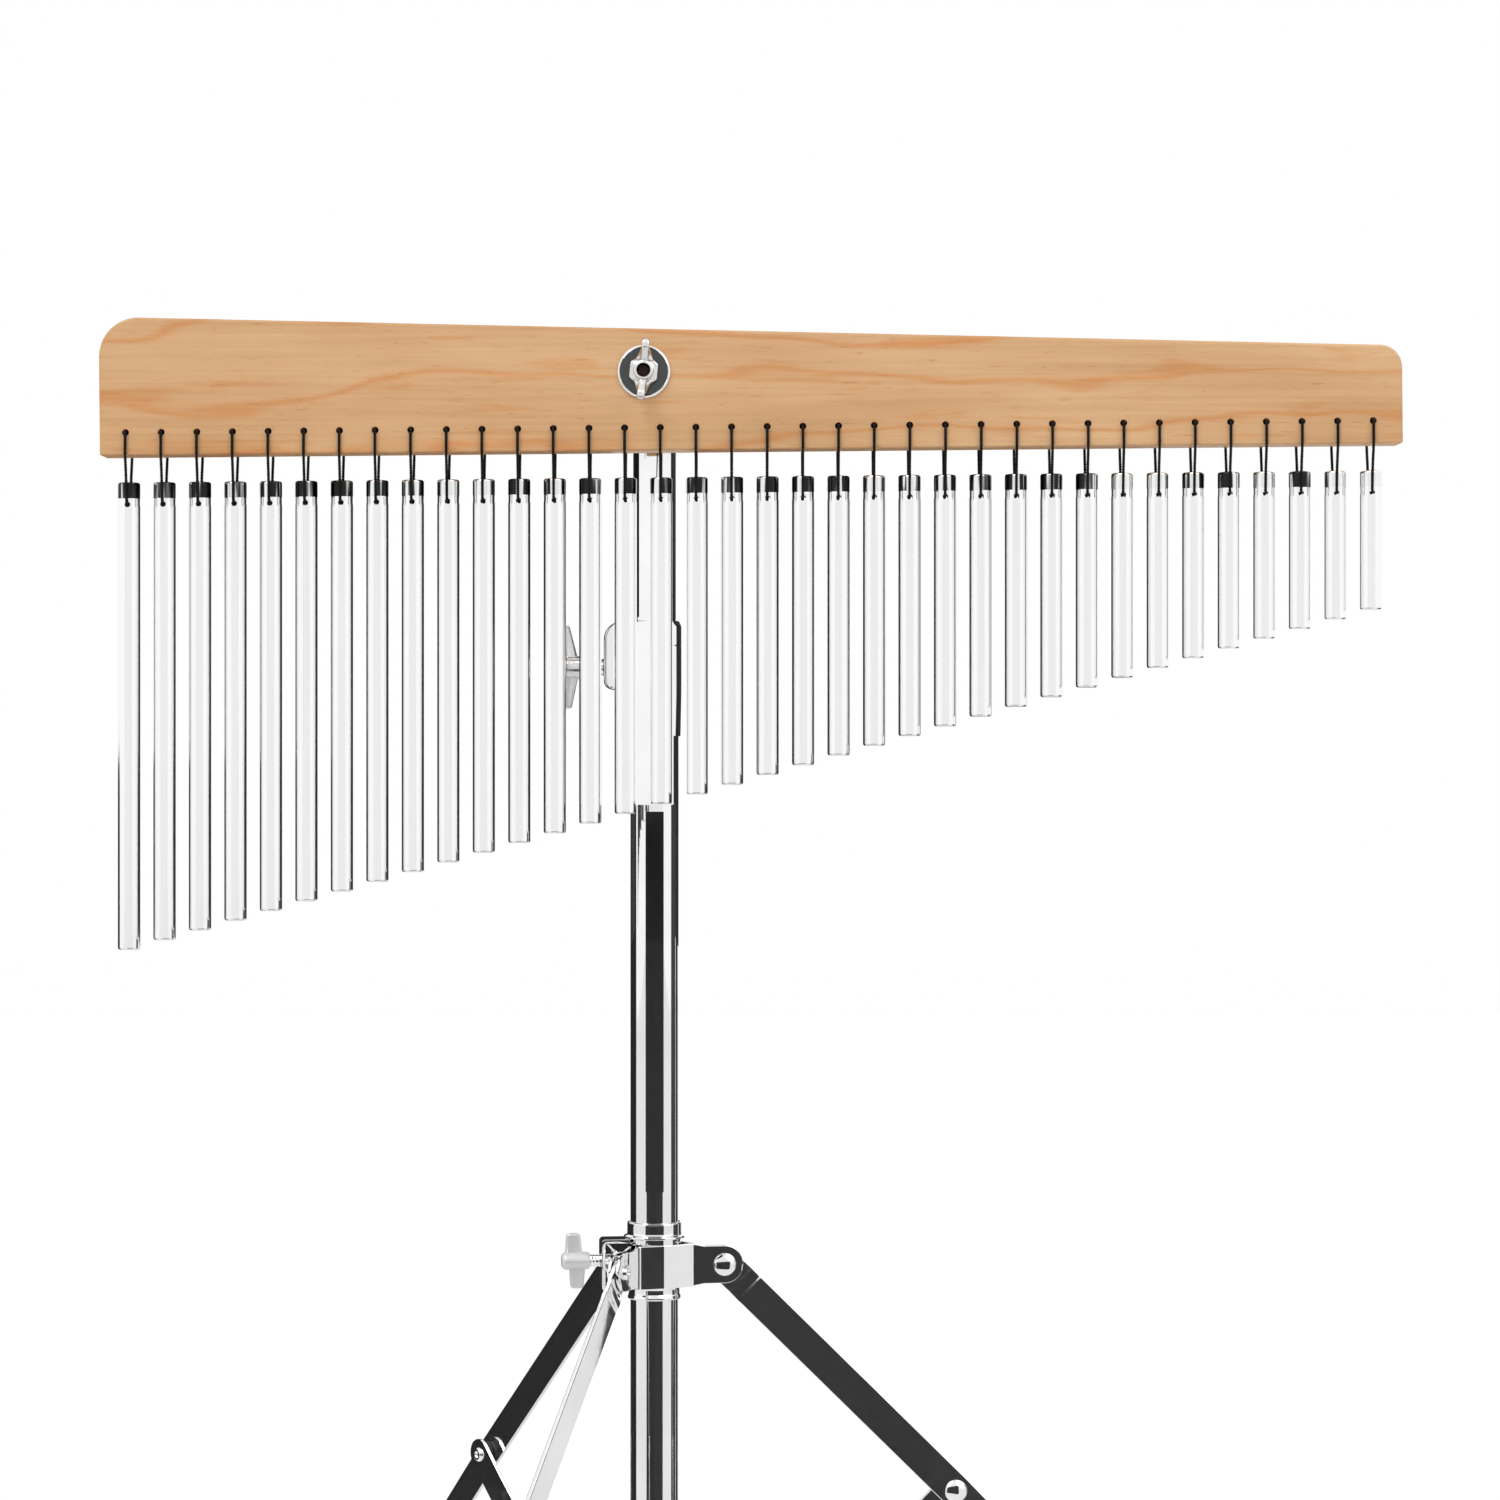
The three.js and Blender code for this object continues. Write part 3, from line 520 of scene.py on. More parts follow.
def bar_build(tree):
    streaks = tree.noise(tree.mapped((1, 1, 0.02)), 900, 4, 0.6)
    roughness = tree.ramp(streaks, [(0.3, 0.1), (0.7, 0.16)])
    tone = tree.ramp(streaks, [(0.3, 0.94), (0.7, 0.97)])
    tree.surface({"Roughness": roughness, "Base Color": tone, "Metallic": 1})


bar_metal = material("bar_satin_polish", bar_build)


def wood_build(tree):
    """Light hardwood: long wavy growth lines, short dark pores and soft colour clouds."""
    clouds = tree.noise(tree.mapped((7, 20, 26)), 1, 3, 0.5)
    tones = [(0.25, (0.6, 0.345, 0.163)), (0.5, (0.68, 0.4, 0.198)), (0.75, (0.77, 0.485, 0.265))]
    base = tree.ramp(clouds, tones)
    inputs = {"Scale": 1, "Distortion": 11, "Detail": 3, "Detail Scale": 1.5, "Detail Roughness": 0.6}
    inputs["Vector"] = tree.mapped((2.4, 6, 11), (0, 0.12, 0))
    wave = tree.add("TexWave", inputs, wave_type="BANDS", bands_direction="Z")
    line = tree.ramp(wave.outputs["Fac"], [(0, 0.8), (0.03, 0.35), (0.1, 0), (1, 0)])
    lined = tree.mix(line, base, (0.97, 0.74, 0.54))
    fibres = tree.noise(tree.mapped((9, 300, 420)), 1, 4, 0.6)
    fibre_tone = tree.ramp(fibres, [(0.3, (0.87, 0.82, 0.77)), (0.62, (1, 1, 1))])
    figured = tree.mix(0.85, lined, fibre_tone)
    flames = tree.noise(tree.mapped((16, 60, 130), (0, 0.05, 0)), 1, 4, 0.6, 0.8)
    flame_mask = tree.ramp(flames, [(0.34, 0.8), (0.43, 0)])
    flamed = tree.mix(flame_mask, figured, (0.97, 0.83, 0.68))
    pores = tree.noise(tree.mapped((95, 700, 1100), (0, 0.04, 0)), 1, 3, 0.6, 0.6)
    pore_mask = tree.ramp(pores, [(0.3, 0.85), (0.38, 0)])
    shaded = tree.mix(pore_mask, flamed, (0.87, 0.74, 0.62))
    gloss = tree.ramp(pores, [(0.3, 0.55), (0.6, 0.45)])
    tree.surface({"Base Color": shaded, "Roughness": gloss, "Specular IOR Level": 0.35})
    tree.bump(pores, 0.2, 0.0002)


wood = material("beam_wood_grain", wood_build)


def cord_build(tree):
    fibres = tree.noise(tree.mapped((1, 1, 0.3)), 6000, 3, 0.7)
    tone = tree.ramp(fibres, [(0.3, 0.003), (0.75, 0.014)])
    roughness = tree.ramp(fibres, [(0.3, 0.6), (0.7, 0.85)])
    tree.surface({"Base Color": tone, "Roughness": roughness, "Specular IOR Level": 0.2})
    tree.bump(fibres, 0.4, 0.0001)


cord_black = material("cord_black", cord_build)


def rubber_build(tree):
    grain = tree.noise(tree.mapped(), 1500, 4, 0.6)
    tone = tree.ramp(grain, [(0.3, 0.018), (0.7, 0.035)])
    roughness = tree.ramp(grain, [(0.3, 0.55), (0.7, 0.75)])
    tree.surface({"Base Color": tone, "Roughness": roughness})
    tree.bump(grain, 0.2, 0.0002)


rubber = material("foot_rubber_grain", rubber_build)
nylon = material("bushing_nylon", rubber_build)


def floor_build(tree):
    """Matt white that glows a little to the camera alone."""
    tone = tree.ramp(tree.noise(tree.mapped(), 2, 2), [(0.3, 0.88), (0.7, 0.9)])
    glow = tree.math_node("MULTIPLY", tree.add("LightPath").outputs["Is Camera Ray"], 0.2)
    tree.surface({"Base Color": tone, "Roughness": 0.9, "Specular IOR Level": 0})
    tree.surface({"Emission Color": 1, "Emission Strength": glow})


floor_paint = material("floor_paint", floor_build)


def card(low, high, glow=0):
    def build(tree):
        tone = tree.ramp(tree.noise(tree.mapped(), 3, 2), [(0.3, low), (0.7, high)])
        tree.surface({"Base Color": tone, "Roughness": 0.9, "Emission Color": 1, "Emission Strength": glow})

    return build


card_grey = material("card_grey", card(0.03, 0.05))
card_black = material("card_black", card(0.006, 0.014))
# card_white glows, so that it shows only as a painted white reflection and lights nothing
card_white = material("card_white", card(0.03, 0.05, 0.97))


# Camera, floor, lamps and studio surround

CAMERA_DISTANCE = 1.75  # metres from the beam's front
CAMERA_HEIGHT = 0.5251

camera_data = bpy.data.cameras.new("camera")
camera = linked("camera", camera_data)
camera.location = (-0.0004, box("beam")[0].y * MM - CAMERA_DISTANCE, CAMERA_HEIGHT)
camera.rotation_euler = (pi / 2, 0, 0)
camera_data.sensor_width = 36
camera_data.sensor_fit = "HORIZONTAL"
camera_data.lens = 93.6
camera_data.clip_end = 50
scene.camera = camera

scene.view_settings.view_transform = "Standard"

far = 6000
floor_corners = [(-far, -far, 0), (far, -far, 0), (far, far, 0), (-far, far, 0)]
floor = new_object("floor", floor_corners, [(0, 1, 2, 3)], smooth=False, material=floor_paint)


def soft_lamp(name, azimuth, elevation, strength, spread):
    """A wide distant lamp. Azimuth 0 is the front, positive to the right."""
    data = bpy.data.lights.new(name, "SUN")
    data.energy = strength
    data.angle = radians(spread)
    turn, rise = radians(azimuth), radians(elevation)
    source = Vector((sin(turn) * cos(rise), -cos(turn) * cos(rise), sin(rise)))
    linked(name, data).rotation_euler = source.to_track_quat("Z", "Y").to_euler()


soft_lamp("key", -35, 50, 1.3, 35)
soft_lamp("fill", 50, 35, 0.7, 50)


def reflection_card(name, strips, paint=card_grey):
    """Cards, each a line of (x, y) points with a low and a high edge. Only reflections show them: the far
    ones stand as studio flags, the near ones paint reflections onto the chrome.
    """
    verts, faces = [], []
    for line, low, high in strips:
        for k, (x, y) in enumerate(line):
            if k:
                base = len(verts)
                faces.append((base - 2, base, base + 1, base - 1))
            verts += [(x, y, low), (x, y, high)]
    board = new_object(name, verts, faces, material=paint)
    board.visible_camera = board.visible_diffuse = board.visible_shadow = False


def curved(start, end, radius):
    """A line round the tube between two bearings in degrees."""
    bearings = [radians(degrees) for degrees in spread(start, end, max(2, int(abs(end - start) / 4)))]
    return [(tube_x + radius * sin(b), tube_y - radius * cos(b)) for b in bearings]


# Apart from the far strips at 550 and 750 mm, these cards stand within about 120 mm of the tube: sheets that
# paint dark reflections onto the tubes and bars, and card_white paints a white one onto the upper tube
FRONT_LEFT, FRONT_RIGHT = -37, 41  # bearings of the dark stripe's edges in the tubes
LOW_CARD_TOP = 520
HIGH_CARD = (500, 870)
BARE_TUBE_TOP = bolt.z - 32
reflection_card(
    "card_front",
    [
        (curved(FRONT_LEFT, FRONT_RIGHT, 550), 0, 360),
        (curved(FRONT_LEFT, FRONT_RIGHT, 45), 320, 437),
        (curved(-26.4, 30.1, 15), 437, 497),
    ],
)
left_strips = [(curved(-180, -96, 750), 0, LOW_CARD_TOP), (curved(-150, -98, 100), *HIGH_CARD)]
reflection_card("card_left", left_strips, card_black)
right_strips = [(curved(88, 120, 750), 0, LOW_CARD_TOP), (curved(115, 140, 60), 150, LOW_CARD_TOP)]
reflection_card("card_right", right_strips)
reflection_card("card_right_high", [(curved(90, 131, 100), *HIGH_CARD)])
reflection_card("card_behind", [([(-330, 120), (190, 120)], 430, HIGH_CARD[1])])
reflection_card("card_tube_front", [(curved(-68, 80, 20), 500, BARE_TUBE_TOP)], card_white)
reflection_card("card_tube_left", [(curved(-104, -70, 20), collar_high + 2, BARE_TUBE_TOP)], card_black)

scene.world = bpy.data.worlds.new("studio")
sky = Tree(scene.world, "Background")
split = sky.add("SeparateXYZ", {"Vector": sky.add("TexCoord").outputs["Generated"]})

# Direction round the object: 0.5 towards the front, 0 and 1 towards the back, rising to the right
bearing = sky.math_node("ARCTAN2", split.outputs["X"], sky.math_node("MULTIPLY", split.outputs["Y"], -1))
turns = sky.math_node("ADD", sky.math_node("DIVIDE", bearing, FULL_TURN), 0.5)

# White all round, and slightly darker towards the front, with soft edges
SOFT, DARKER = 1.5, 0.88
edges = [(FRONT_LEFT - SOFT, 1), (FRONT_LEFT + SOFT, DARKER)]
edges += [(FRONT_RIGHT - SOFT, DARKER), (FRONT_RIGHT + SOFT, 1)]
reflected = sky.ramp(turns, [(0, 1)] + [((degrees + 180) / 360, level) for degrees, level in edges])
rays = sky.add("LightPath").outputs
sharp_ray = sky.math_node("MAXIMUM", rays["Is Glossy Ray"], rays["Is Transmission Ray"])
lit = sky.mix(sharp_ray, 0.5, reflected, "MIX")
sky.surface({"Color": sky.mix(rays["Is Camera Ray"], lit, 1, "MIX"), "Strength": 1})


# Beam


def bar_x(i):
    return 11.7 + BEAM_LEFT + BAR_PITCH * i


def make_beam():
    right = BEAM_LENGTH + BEAM_LEFT
    corners = [(BEAM_LEFT, BEAM_EDGE_Z, 1), (right, BEAM_EDGE_Z, 1)]
    corners += [(right, BEAM_EDGE_Z + 44, 10), (BEAM_LEFT, BEAM_EDGE_Z + 62.4, 17.5)]
    beam = plate("beam_board", outline(corners, 10), -BEAM_HALF, BEAM_HALF, BEAM, 0.9, wood)
    verts, faces = [], []
    stepped = [(0, -12), (1.6, -12), (1.6, 6), (0.8, 7), (0.8, 12), (0, 12)]
    holes = [(0, 0, solid_profile(M6_HOLE, -12, 12))]
    holes += [(bar_x(i), CORD_HOLE_Z, stepped) for i in range(len(BARS))]
    for x, z, bore in holes:
        ring, sides = lathe_data(bore, 20)
        base = len(verts)
        verts += [(x + vx, vz, z + vy) for vx, vy, vz in ring]
        faces += [tuple(base + k for k in face) for face in sides]
    combine(beam, [new_object("cutter", verts, faces, BEAM)], "DIFFERENCE", sharp=50)
    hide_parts("beam")
    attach(beam, "beam")


make_beam()


# Bars

LIGHT_TIPS = [10, 11, 22, 29, 30, 33, 35, 36]  # the bars whose tips are bright in the photo


def make_bars():
    """One bar with its cross hole, then 36 copies with their own lengths."""
    foot, ring, tip = -60, -10.4, -7.2
    outer, groove = BAR_RADIUS, BAR_RADIUS - 0.14
    profile = [(0, foot), (4.2, foot), (4.75, foot + 0.25), (outer, foot + 0.9), (outer, ring - 0.25)]
    profile += [(groove, ring), (groove, tip), (outer, tip + 0.25), (outer, -0.8), (4.78, -0.28)]
    profile += [(4.3, 0), (0, 0)]
    verts, faces = lathe_data(profile, 56)
    pattern = new_object("bar_pattern", verts, faces, sharp=45, material=bar_metal)
    pattern.data.materials.append(bar_tip)
    for face in pattern.data.polygons:
        face.material_index = 1 if face.center.z > (tip - 0.1) * MM else 0
    hole = solid_profile(1.3, -8, 8)
    cutter = along_y("cutter", hole, 20, None, (0, 0, -CROSS_HOLE), material=bar_metal)
    combine(pattern, [cutter], "DIFFERENCE", sharp=45)
    apply_modifiers(pattern)
    for name in BARS:
        low, high = box(name)
        mesh = pattern.data.copy()
        mesh.name = name + "_rod"
        stretch = (high.z - low.z + foot) * MM
        for vertex in mesh.vertices:
            if vertex.co.z < -55 * MM:
                vertex.co.z -= stretch
        mesh.transform(Matrix.Translation(Vector(((low.x + high.x) / 2, (low.y + high.y) / 2, high.z)) * MM))
        # tips outside LIGHT_TIPS get the painted reflection of dark streaks in their colour
        if int(name[4:]) not in LIGHT_TIPS:
            mesh.materials[1] = reflection_streaked_tip
        rod = linked(name + "_rod", mesh)
        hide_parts(name)
        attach(rod, name)
    discard(pattern)


make_bars()


# Hanging cord: a twisted loop for each bar, and the knots at both ends


def on_board(x, z):
    return BEAM @ Vector((x, 0, z))


def make_cord():
    air, cord_radius = 0.3, 0.65
    on_beam = BEAM_HALF + air + cord_radius
    on_bar = BAR_RADIUS + air + cord_radius
    last = len(BARS) - 1
    for i, name in enumerate(BARS):
        hole = on_board(bar_x(i), CORD_HOLE_Z)
        edge = on_board(bar_x(i), BEAM_EDGE_Z).z
        next_z = on_board(bar_x(i) + BAR_PITCH, CORD_HOLE_Z).z
        pierced = box(name)[1].z - CROSS_HOLE
        halfway = (edge + pierced + 2) / 2
        # through the beam to its front, down, through the bar, and up behind, as (y, z)
        spots = [(on_beam - 0.9, hole.z), (4, hole.z), (-6, hole.z), (-on_beam + 0.45, hole.z - 0.05)]
        spots += [(-on_beam - 0.1, hole.z - 0.95), (-on_beam, hole.z - 2.4), (-on_beam, (hole.z + edge) / 2)]
        spots += [(-on_beam, edge), (-on_bar - 1.4, halfway), (-on_bar - 0.2, pierced + 2)]
        spots += [(-on_bar + 0.5, pierced + 0.15), (-3, pierced), (3, pierced)]
        spots += [(on_bar - 0.5, pierced + 0.15), (on_bar + 0.2, pierced + 2), (on_bar + 1.4, halfway)]
        spots = [(0, y, z) for y, z in spots + [(on_beam, edge), (on_beam, hole.z - 3.8)]]
        if i < last:
            spots += [(1.3, on_beam, hole.z - 2.7), (8, on_beam, (hole.z + next_z) / 2 - 1.6)]
            spots += [(14.2, on_beam, next_z - 0.45), (15.4, on_beam, next_z)]
            spots.append((BAR_PITCH, on_beam - 0.9, next_z))
        else:
            spots.append((0, on_beam + 0.5, hole.z - 1))
        points = [Vector((hole.x + x, hole.y + y, z)) for x, y, z in spots]
        verts, faces = thread_data(smooth_path(points), 0.45, 0.33)
        loop = new_object("cord_loop_%02d" % (i + 1), verts, faces, sharp=80, material=cord_black)
        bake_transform(loop)
    for end, i in (("start", 0), ("end", last)):
        hole = on_board(bar_x(i), CORD_HOLE_Z)
        points = []
        for k in range(40):
            t = k / 39 * FULL_TURN * 1.5
            radius = 0.95 + 0.25 * sin(2 * t)
            spot = Vector((cos(t) * radius, 0.55 * sin(t * 0.75 + 0.6), sin(t) * radius))
            points.append(spot + hole + Vector((0, BEAM_HALF + 1.9, 0)))
        verts, faces = thread_data(points, 0.34, 0.3)
        knot = new_object("cord_knot_" + end, verts, faces, sharp=80, material=cord_black)
        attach(knot, "beam")
    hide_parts("hanging_cord")


make_cord()


# Tubes

main_profile = tube_profile(10.05, 11, main_bottom, main_top)
main_tube = lathe("main_tube_shell", main_profile, 96, TUBE, 0.35, chrome)
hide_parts("main_tube")
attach(main_tube, "stand")
upper_profile = tube_profile(8.55, 9.75, upper_bottom, upper_top)
upper_tube = lathe("upper_tube_shell", upper_profile, 96, TUBE, 0.3, chrome)
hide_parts("upper_tube")
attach(upper_tube, "upper_tube")


# Height collar: drawn sleeve with a rounded shoulder, and the lug for its wing bolt


def make_height_collar():
    low, high = collar_low, collar_high
    profile = [(BORE, low), (11.9, low), (12.3, low + 20), (12.3, high - 11.6), (12.05, high - 11.3)]
    profile += [(12.3, high - 11), (12.3, high - 2.4), (11.2, high), (10.15, high)]
    profile += [(10.15, high - 1.5), (BORE, high - 1.5), (BORE, low)]
    body = lathe("height_collar_shell", profile, 96, TUBE, 0.6, chrome)
    corners = [(-23, high - 31.4, 4), (-11.7, high - 31.4), (-11.7, high - 0.4), (-23, high - 0.4, 8)]
    lug = plate("lug", outline(corners, 10), -6.9, 6.9, TUBE, 1.6, chrome)
    cutter = along_x("cutter", solid_profile(M8_HOLE, -30, -5), 32, TUBE, height_bolt_z, way=1)
    combine(body, [lug])
    combine(body, [cutter], "DIFFERENCE")
    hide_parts("height_collar")
    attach(body, "stand")


make_height_collar()
low, high = heights("collar_bushing")
bushing = lathe("collar_bushing_ring", tube_profile(10.05, 11, low, high), 64, TUBE, 0.25, nylon)
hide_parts("collar_bushing")
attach(bushing, "stand")


# Wing bolts: a cut thread, a cast hub and two wings, along local +X from the tube's axis


def threaded_profile(radius, start, end, pitch):
    root = radius - pitch * 0.32
    points = [(0, start), (root - 0.3, start)]
    count = int((end - start - 0.8) / pitch)
    for k in range(count):
        base = start + 0.4 + k * pitch
        points += [(root, base), (radius, base + pitch * 0.45), (radius, base + pitch * 0.55)]
    return points + [(root, start + 0.4 + count * pitch), (root, end), (0, end)]


def wing_bolt(name, place, shank, hub, wings, thickness, pitch, body, cast=cast_nickel):
    """shank: radius, tip. hub: radius, start, end. wings: corners of the upper and the lower one."""
    radius, start, end = hub
    thread = threaded_profile(*shank, start + 1, pitch)
    screw = along_x("shank", thread, 32, place, material=chrome, sharp=50)
    profile = [(0, start), (radius * 0.9, start), (radius, start + 1)]
    profile += [(radius, end - 1.4), (radius * 0.7, end), (0, end)]
    head = along_x("hub", rounded(profile, 0.5), 40, place, material=cast, sharp=50)
    plates = []
    for side, corners in zip((1, -1), wings):
        points = outline([(along, side * up, r) for along, up, r in corners], 8)
        plates.append(plate("wing", points, -thickness / 2, thickness / 2, place, 1.1, cast))
    combine(head, plates, sharp=50)
    whole = join(name + "_piece", [screw, head])
    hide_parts(name)
    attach(whole, body)


wing_bolt(
    "height_wing_bolt",
    TUBE @ Matrix.Translation((0, 0, height_bolt_z)) @ Matrix.Rotation(pi, 4, "Z"),
    (3.9, 10.2),
    (5.1, 26, 41.4),
    (
        [(34, 0, 0), (42.2, 0, 0), (42.2, 18.9, 1.2), (39, 18.9, 1.2)],
        [(34, 0, 0), (42.2, 0, 0), (42.2, 18.9, 1.6), (38, 18.9, 1.4)],
    ),
    3.4,
    1.5,
    "height_wing_bolt",
)
wing_bolt(
    "hub_wing_bolt",
    TUBE @ Matrix.Translation((0, 0, hub_z + HUB_BOLT_RISE)) @ Matrix.Rotation(HUB_BOLT_AZIMUTH, 4, "Z"),
    (3, 11.4),
    (4.1, 29.9, 42.7),
    (
        [(32.8, 0, 0), (41, 0, 0), (40.6, 12.7, 1.8), (34.2, 12.7, 1.8)],
        [(31.6, 0, 0), (39.4, 0, 0), (38.6, 12.7, 1.8), (32.6, 12.7, 1.8)],
    ),
    3,
    1.4,
    "hub_wing_bolt",
    cast_pale,
)


# Leg hub


def leg_place(name, z):
    turn = Matrix.Rotation(LEG_AZIMUTH[name], 4, "Z")
    return TUBE @ Matrix.Translation((0, 0, z)) @ turn @ Matrix.Translation((0, LEG_SHIFT, 0))


def rivet_head(place, x, z, front):
    radius, height, rim = 5.2, 2.2, 0.25
    profile = [(0, -0.6), (radius, -0.6), (radius, rim)]
    for angle in (0.25, 0.5, 0.8, 1.1, 1.35):
        profile.append((radius * cos(angle), rim + (height - rim) * sin(angle)))
    profile.append((0, height))
    return along_y("rivet_head", profile, 40, place, (x, front, z), -1, chrome, 60)


def rivet_tail(place, x, z, back):
    radius, height = 3.4, 1.3
    profile = [(0, -0.6), (radius, -0.6), (radius, 0.3), (radius * 0.8, height), (radius * 0.45, height)]
    profile += [(radius * 0.3, height * 0.35), (0, height * 0.3)]
    return along_y("rivet_tail", rounded(profile, 0.25), 32, place, (x, back, z), 1, chrome, 60)


def pin(place, x, z, front, back, radius=2.4):
    return along_y("pin", solid_profile(radius, front, back), 24, place, (x, 0, z), material=chrome)


def pressed_sheet(name, azimuth, other):
    """A pressed sheet: the back ear of one leg, round the band, and the front ear of the next."""
    thick, edge = 1.5, 0.3
    radius = BORE + thick / 2
    path = []
    for leg_name, side in ((azimuth, 1), (other, -1)):
        turn = Matrix.Rotation(LEG_AZIMUTH[leg_name], 2)
        offset = LEG_SHIFT + side * (EAR_GAP + thick / 2)
        fold = Vector((16.9, offset))
        angle = atan2(fold.y, fold.x) + side * acos(radius / fold.length)
        ear = [turn @ Vector((PIVOT + EAR, offset)), turn @ fold]
        path.append((ear, angle + LEG_AZIMUTH[leg_name]))
    (first, start_angle), (last, end_angle) = path
    while end_angle < start_angle:
        end_angle += FULL_TURN
    band = [Vector((cos(a), sin(a))) * radius for a in spread(start_angle, end_angle, 18)]
    centre_line = first + band + last[::-1]
    # soften the two folds
    soft = []
    for i, point in enumerate(centre_line):
        if i in (1, len(centre_line) - 2):
            before, after = centre_line[i - 1], centre_line[i + 1]
            a = point + (before - point).normalized() * 1.6
            b = point + (after - point).normalized() * 1.2
            for k in range(6):
                t = k / 5
                soft.append(a * (1 - t) ** 2 + point * 2 * t * (1 - t) + b * t * t)
        else:
            soft.append(point)
    # subdivide the ears so that their ends can be rounded
    line = []
    for a, b in zip(soft, soft[1:]):
        pieces = 26 if (b - a).length > 15 else 1
        line += [a.lerp(b, k / pieces) for k in range(pieces)]
    line.append(soft[-1])
    lengths = lengths_along(line)

    def half_height(s):
        end = min(s, lengths[-1] - s)
        if end < EAR:
            return sqrt(max(0.02, 1 - ((EAR - end) / EAR) ** 2)) * EAR
        return EAR + min(1, max(0, (end - 18) / 6)) * 1.2

    verts = []
    for i, (spot, s) in enumerate(zip(line, lengths)):
        ahead = line[min(i + 1, len(line) - 1)] - line[max(i - 1, 0)]
        normal = Vector((ahead.y, -ahead.x)).normalized()
        half = half_height(s)
        outer = [(thick / 2 - edge, half), (thick / 2, half - edge), (thick / 2, 0)]
        outer += [(thick / 2, -half + edge), (thick / 2 - edge, -half)]
        ring = outer + [(-out, up) for out, up in reversed(outer)]
        for out, up in ring:
            p = spot + normal * out
            verts.append((p.x, p.y, up))
    faces = ring_faces(len(line), len(ring))
    return weight_normals(new_object(name, verts, faces, HUB, material=chrome))


def make_leg_hub():
    profile = [(BORE, -15.4), (12.1, -15.4), (12.3, -14.6), (12.1, -13.6), (11.75, -12.8), (11.75, -10.6)]
    profile += [(12.1, -10), (12.1, 12.4), (14, 12.4), (14, 13.4), (12.6, 13.9), (12.45, 15), (12.45, 19.1)]
    profile += [(12.1, 19.7), (BORE, 19.7), (BORE, -15.4)]
    parts = [lathe("hub_core", profile, 96, HUB, 0.3, chrome)]
    for i, name in enumerate(LEGS):
        place = leg_place(name, hub_z)
        parts += [
            pressed_sheet("hub_sheet_" + name, name, LEGS[(i + 1) % 3]),
            rivet_head(place, PIVOT, 0, -2.8),
            rivet_tail(place, PIVOT, 0, 2.8),
            pin(place, PIVOT, 0, -2.9, 2.9),
        ]
    place = HUB @ Matrix.Rotation(HUB_BOLT_AZIMUTH, 4, "Z")
    low, high, start, reach, thick = -10.9, 12.3, 11.9, 24.9, 1.8
    inner_low, inner_high, inner_reach = low + thick, high - thick, reach - thick
    corners = [(start, high), (reach, high, 1.8), (reach, low, 1.8), (start, low), (start, inner_low)]
    corners += [(inner_reach, inner_low, 0.5), (inner_reach, inner_high, 0.5), (start, inner_high)]
    stirrup = plate("stirrup", outline(corners, 5), -6.5, 6.5, place, 0.3, chrome)
    cutter = along_x("cutter", solid_profile(M6_HOLE, 15, 30), 32, place, HUB_BOLT_RISE)
    combine(stirrup, [cutter], "DIFFERENCE")
    parts.append(stirrup)
    hub = join("leg_hub_piece", parts)
    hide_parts("leg_hub")
    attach(hub, "hub")

    # the bowed pressure strip
    ends, bottom, top = inner_reach - 0.3, inner_low + 0.3, inner_high - 0.3
    mid, half = (top + bottom) / 2, (top - bottom) / 2
    outer = [(ends - 5 * (1 - a * a), mid + a * half) for a in spread(-1, 1, 24)]
    inner = [(x - 1.2, z) for x, z in reversed(outer)]
    strip = plate("clamp_strip_piece", outline(outer + inner), -5.5, 5.5, place, 0.25, chrome)
    cutter = along_x("cutter", solid_profile(M6_HOLE, 5, 30), 32, place, HUB_BOLT_RISE)
    combine(strip, [cutter], "DIFFERENCE")
    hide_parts("clamp_strip")
    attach(strip, "hub")


make_leg_hub()


# Legs, braces and feet, in a plane through the pivots; the origin is the hub's pivot height

LEAN = radians(43.66)
ALONG = Vector((sin(LEAN), -cos(LEAN)))
UP = Vector((cos(LEAN), sin(LEAN)))


def leg_point(along, above):
    return Vector((PIVOT, 0)) + ALONG * along + UP * above


BRACE_TOP = leg_point(151.6, LEG_LINE)
BRACE_FOOT = Vector((PIVOT, 2 * BRACE_TOP.y))


def swept_strip(place, spots, thick, centre, depth_at, round_last):
    """A flat strip with rounded edges through the spots along it. centre gives a point and the way across."""
    first, last = spots[0], spots[-1]
    verts = []
    for s in spots:
        half = STRIP_WIDTH / 2
        if s < first + half:
            half = sqrt(max(0.01, half**2 - (first + half - s) ** 2))
        if round_last and s > last - half:
            half = sqrt(max(0.01, half**2 - (s - last + half) ** 2))
        y = depth_at(s)
        edge = min(0.35, half * 0.5)
        ring = [(half, y + edge), (half - edge, y), (-half + edge, y), (-half, y + edge)]
        ring += [(-half, y + thick - edge), (-half + edge, y + thick)]
        ring += [(half - edge, y + thick), (half, y + thick - edge)]
        point, across_way = centre(s)
        for across, depth in ring:
            p = point + across_way * across
            verts.append((p.x, depth, p.y))
    faces = ring_faces(len(spots), len(ring))
    return weight_normals(new_object("strip", verts, faces, place, material=leg_chrome))


def steps_along(stops):
    """Places along a strip from (place, step) stops: each step size holds up to the next stop."""
    spots = []
    for (start, step), (end, _) in zip(stops, stops[1:]):
        spots += spread(start, end, max(1, round((end - start) / step)))[:-1]
    return spots + [stops[-1][0]]


def eased(s, start, end):
    t = min(1, max(0, (s - start) / (end - start)))
    return 3 * t * t - 2 * t**3


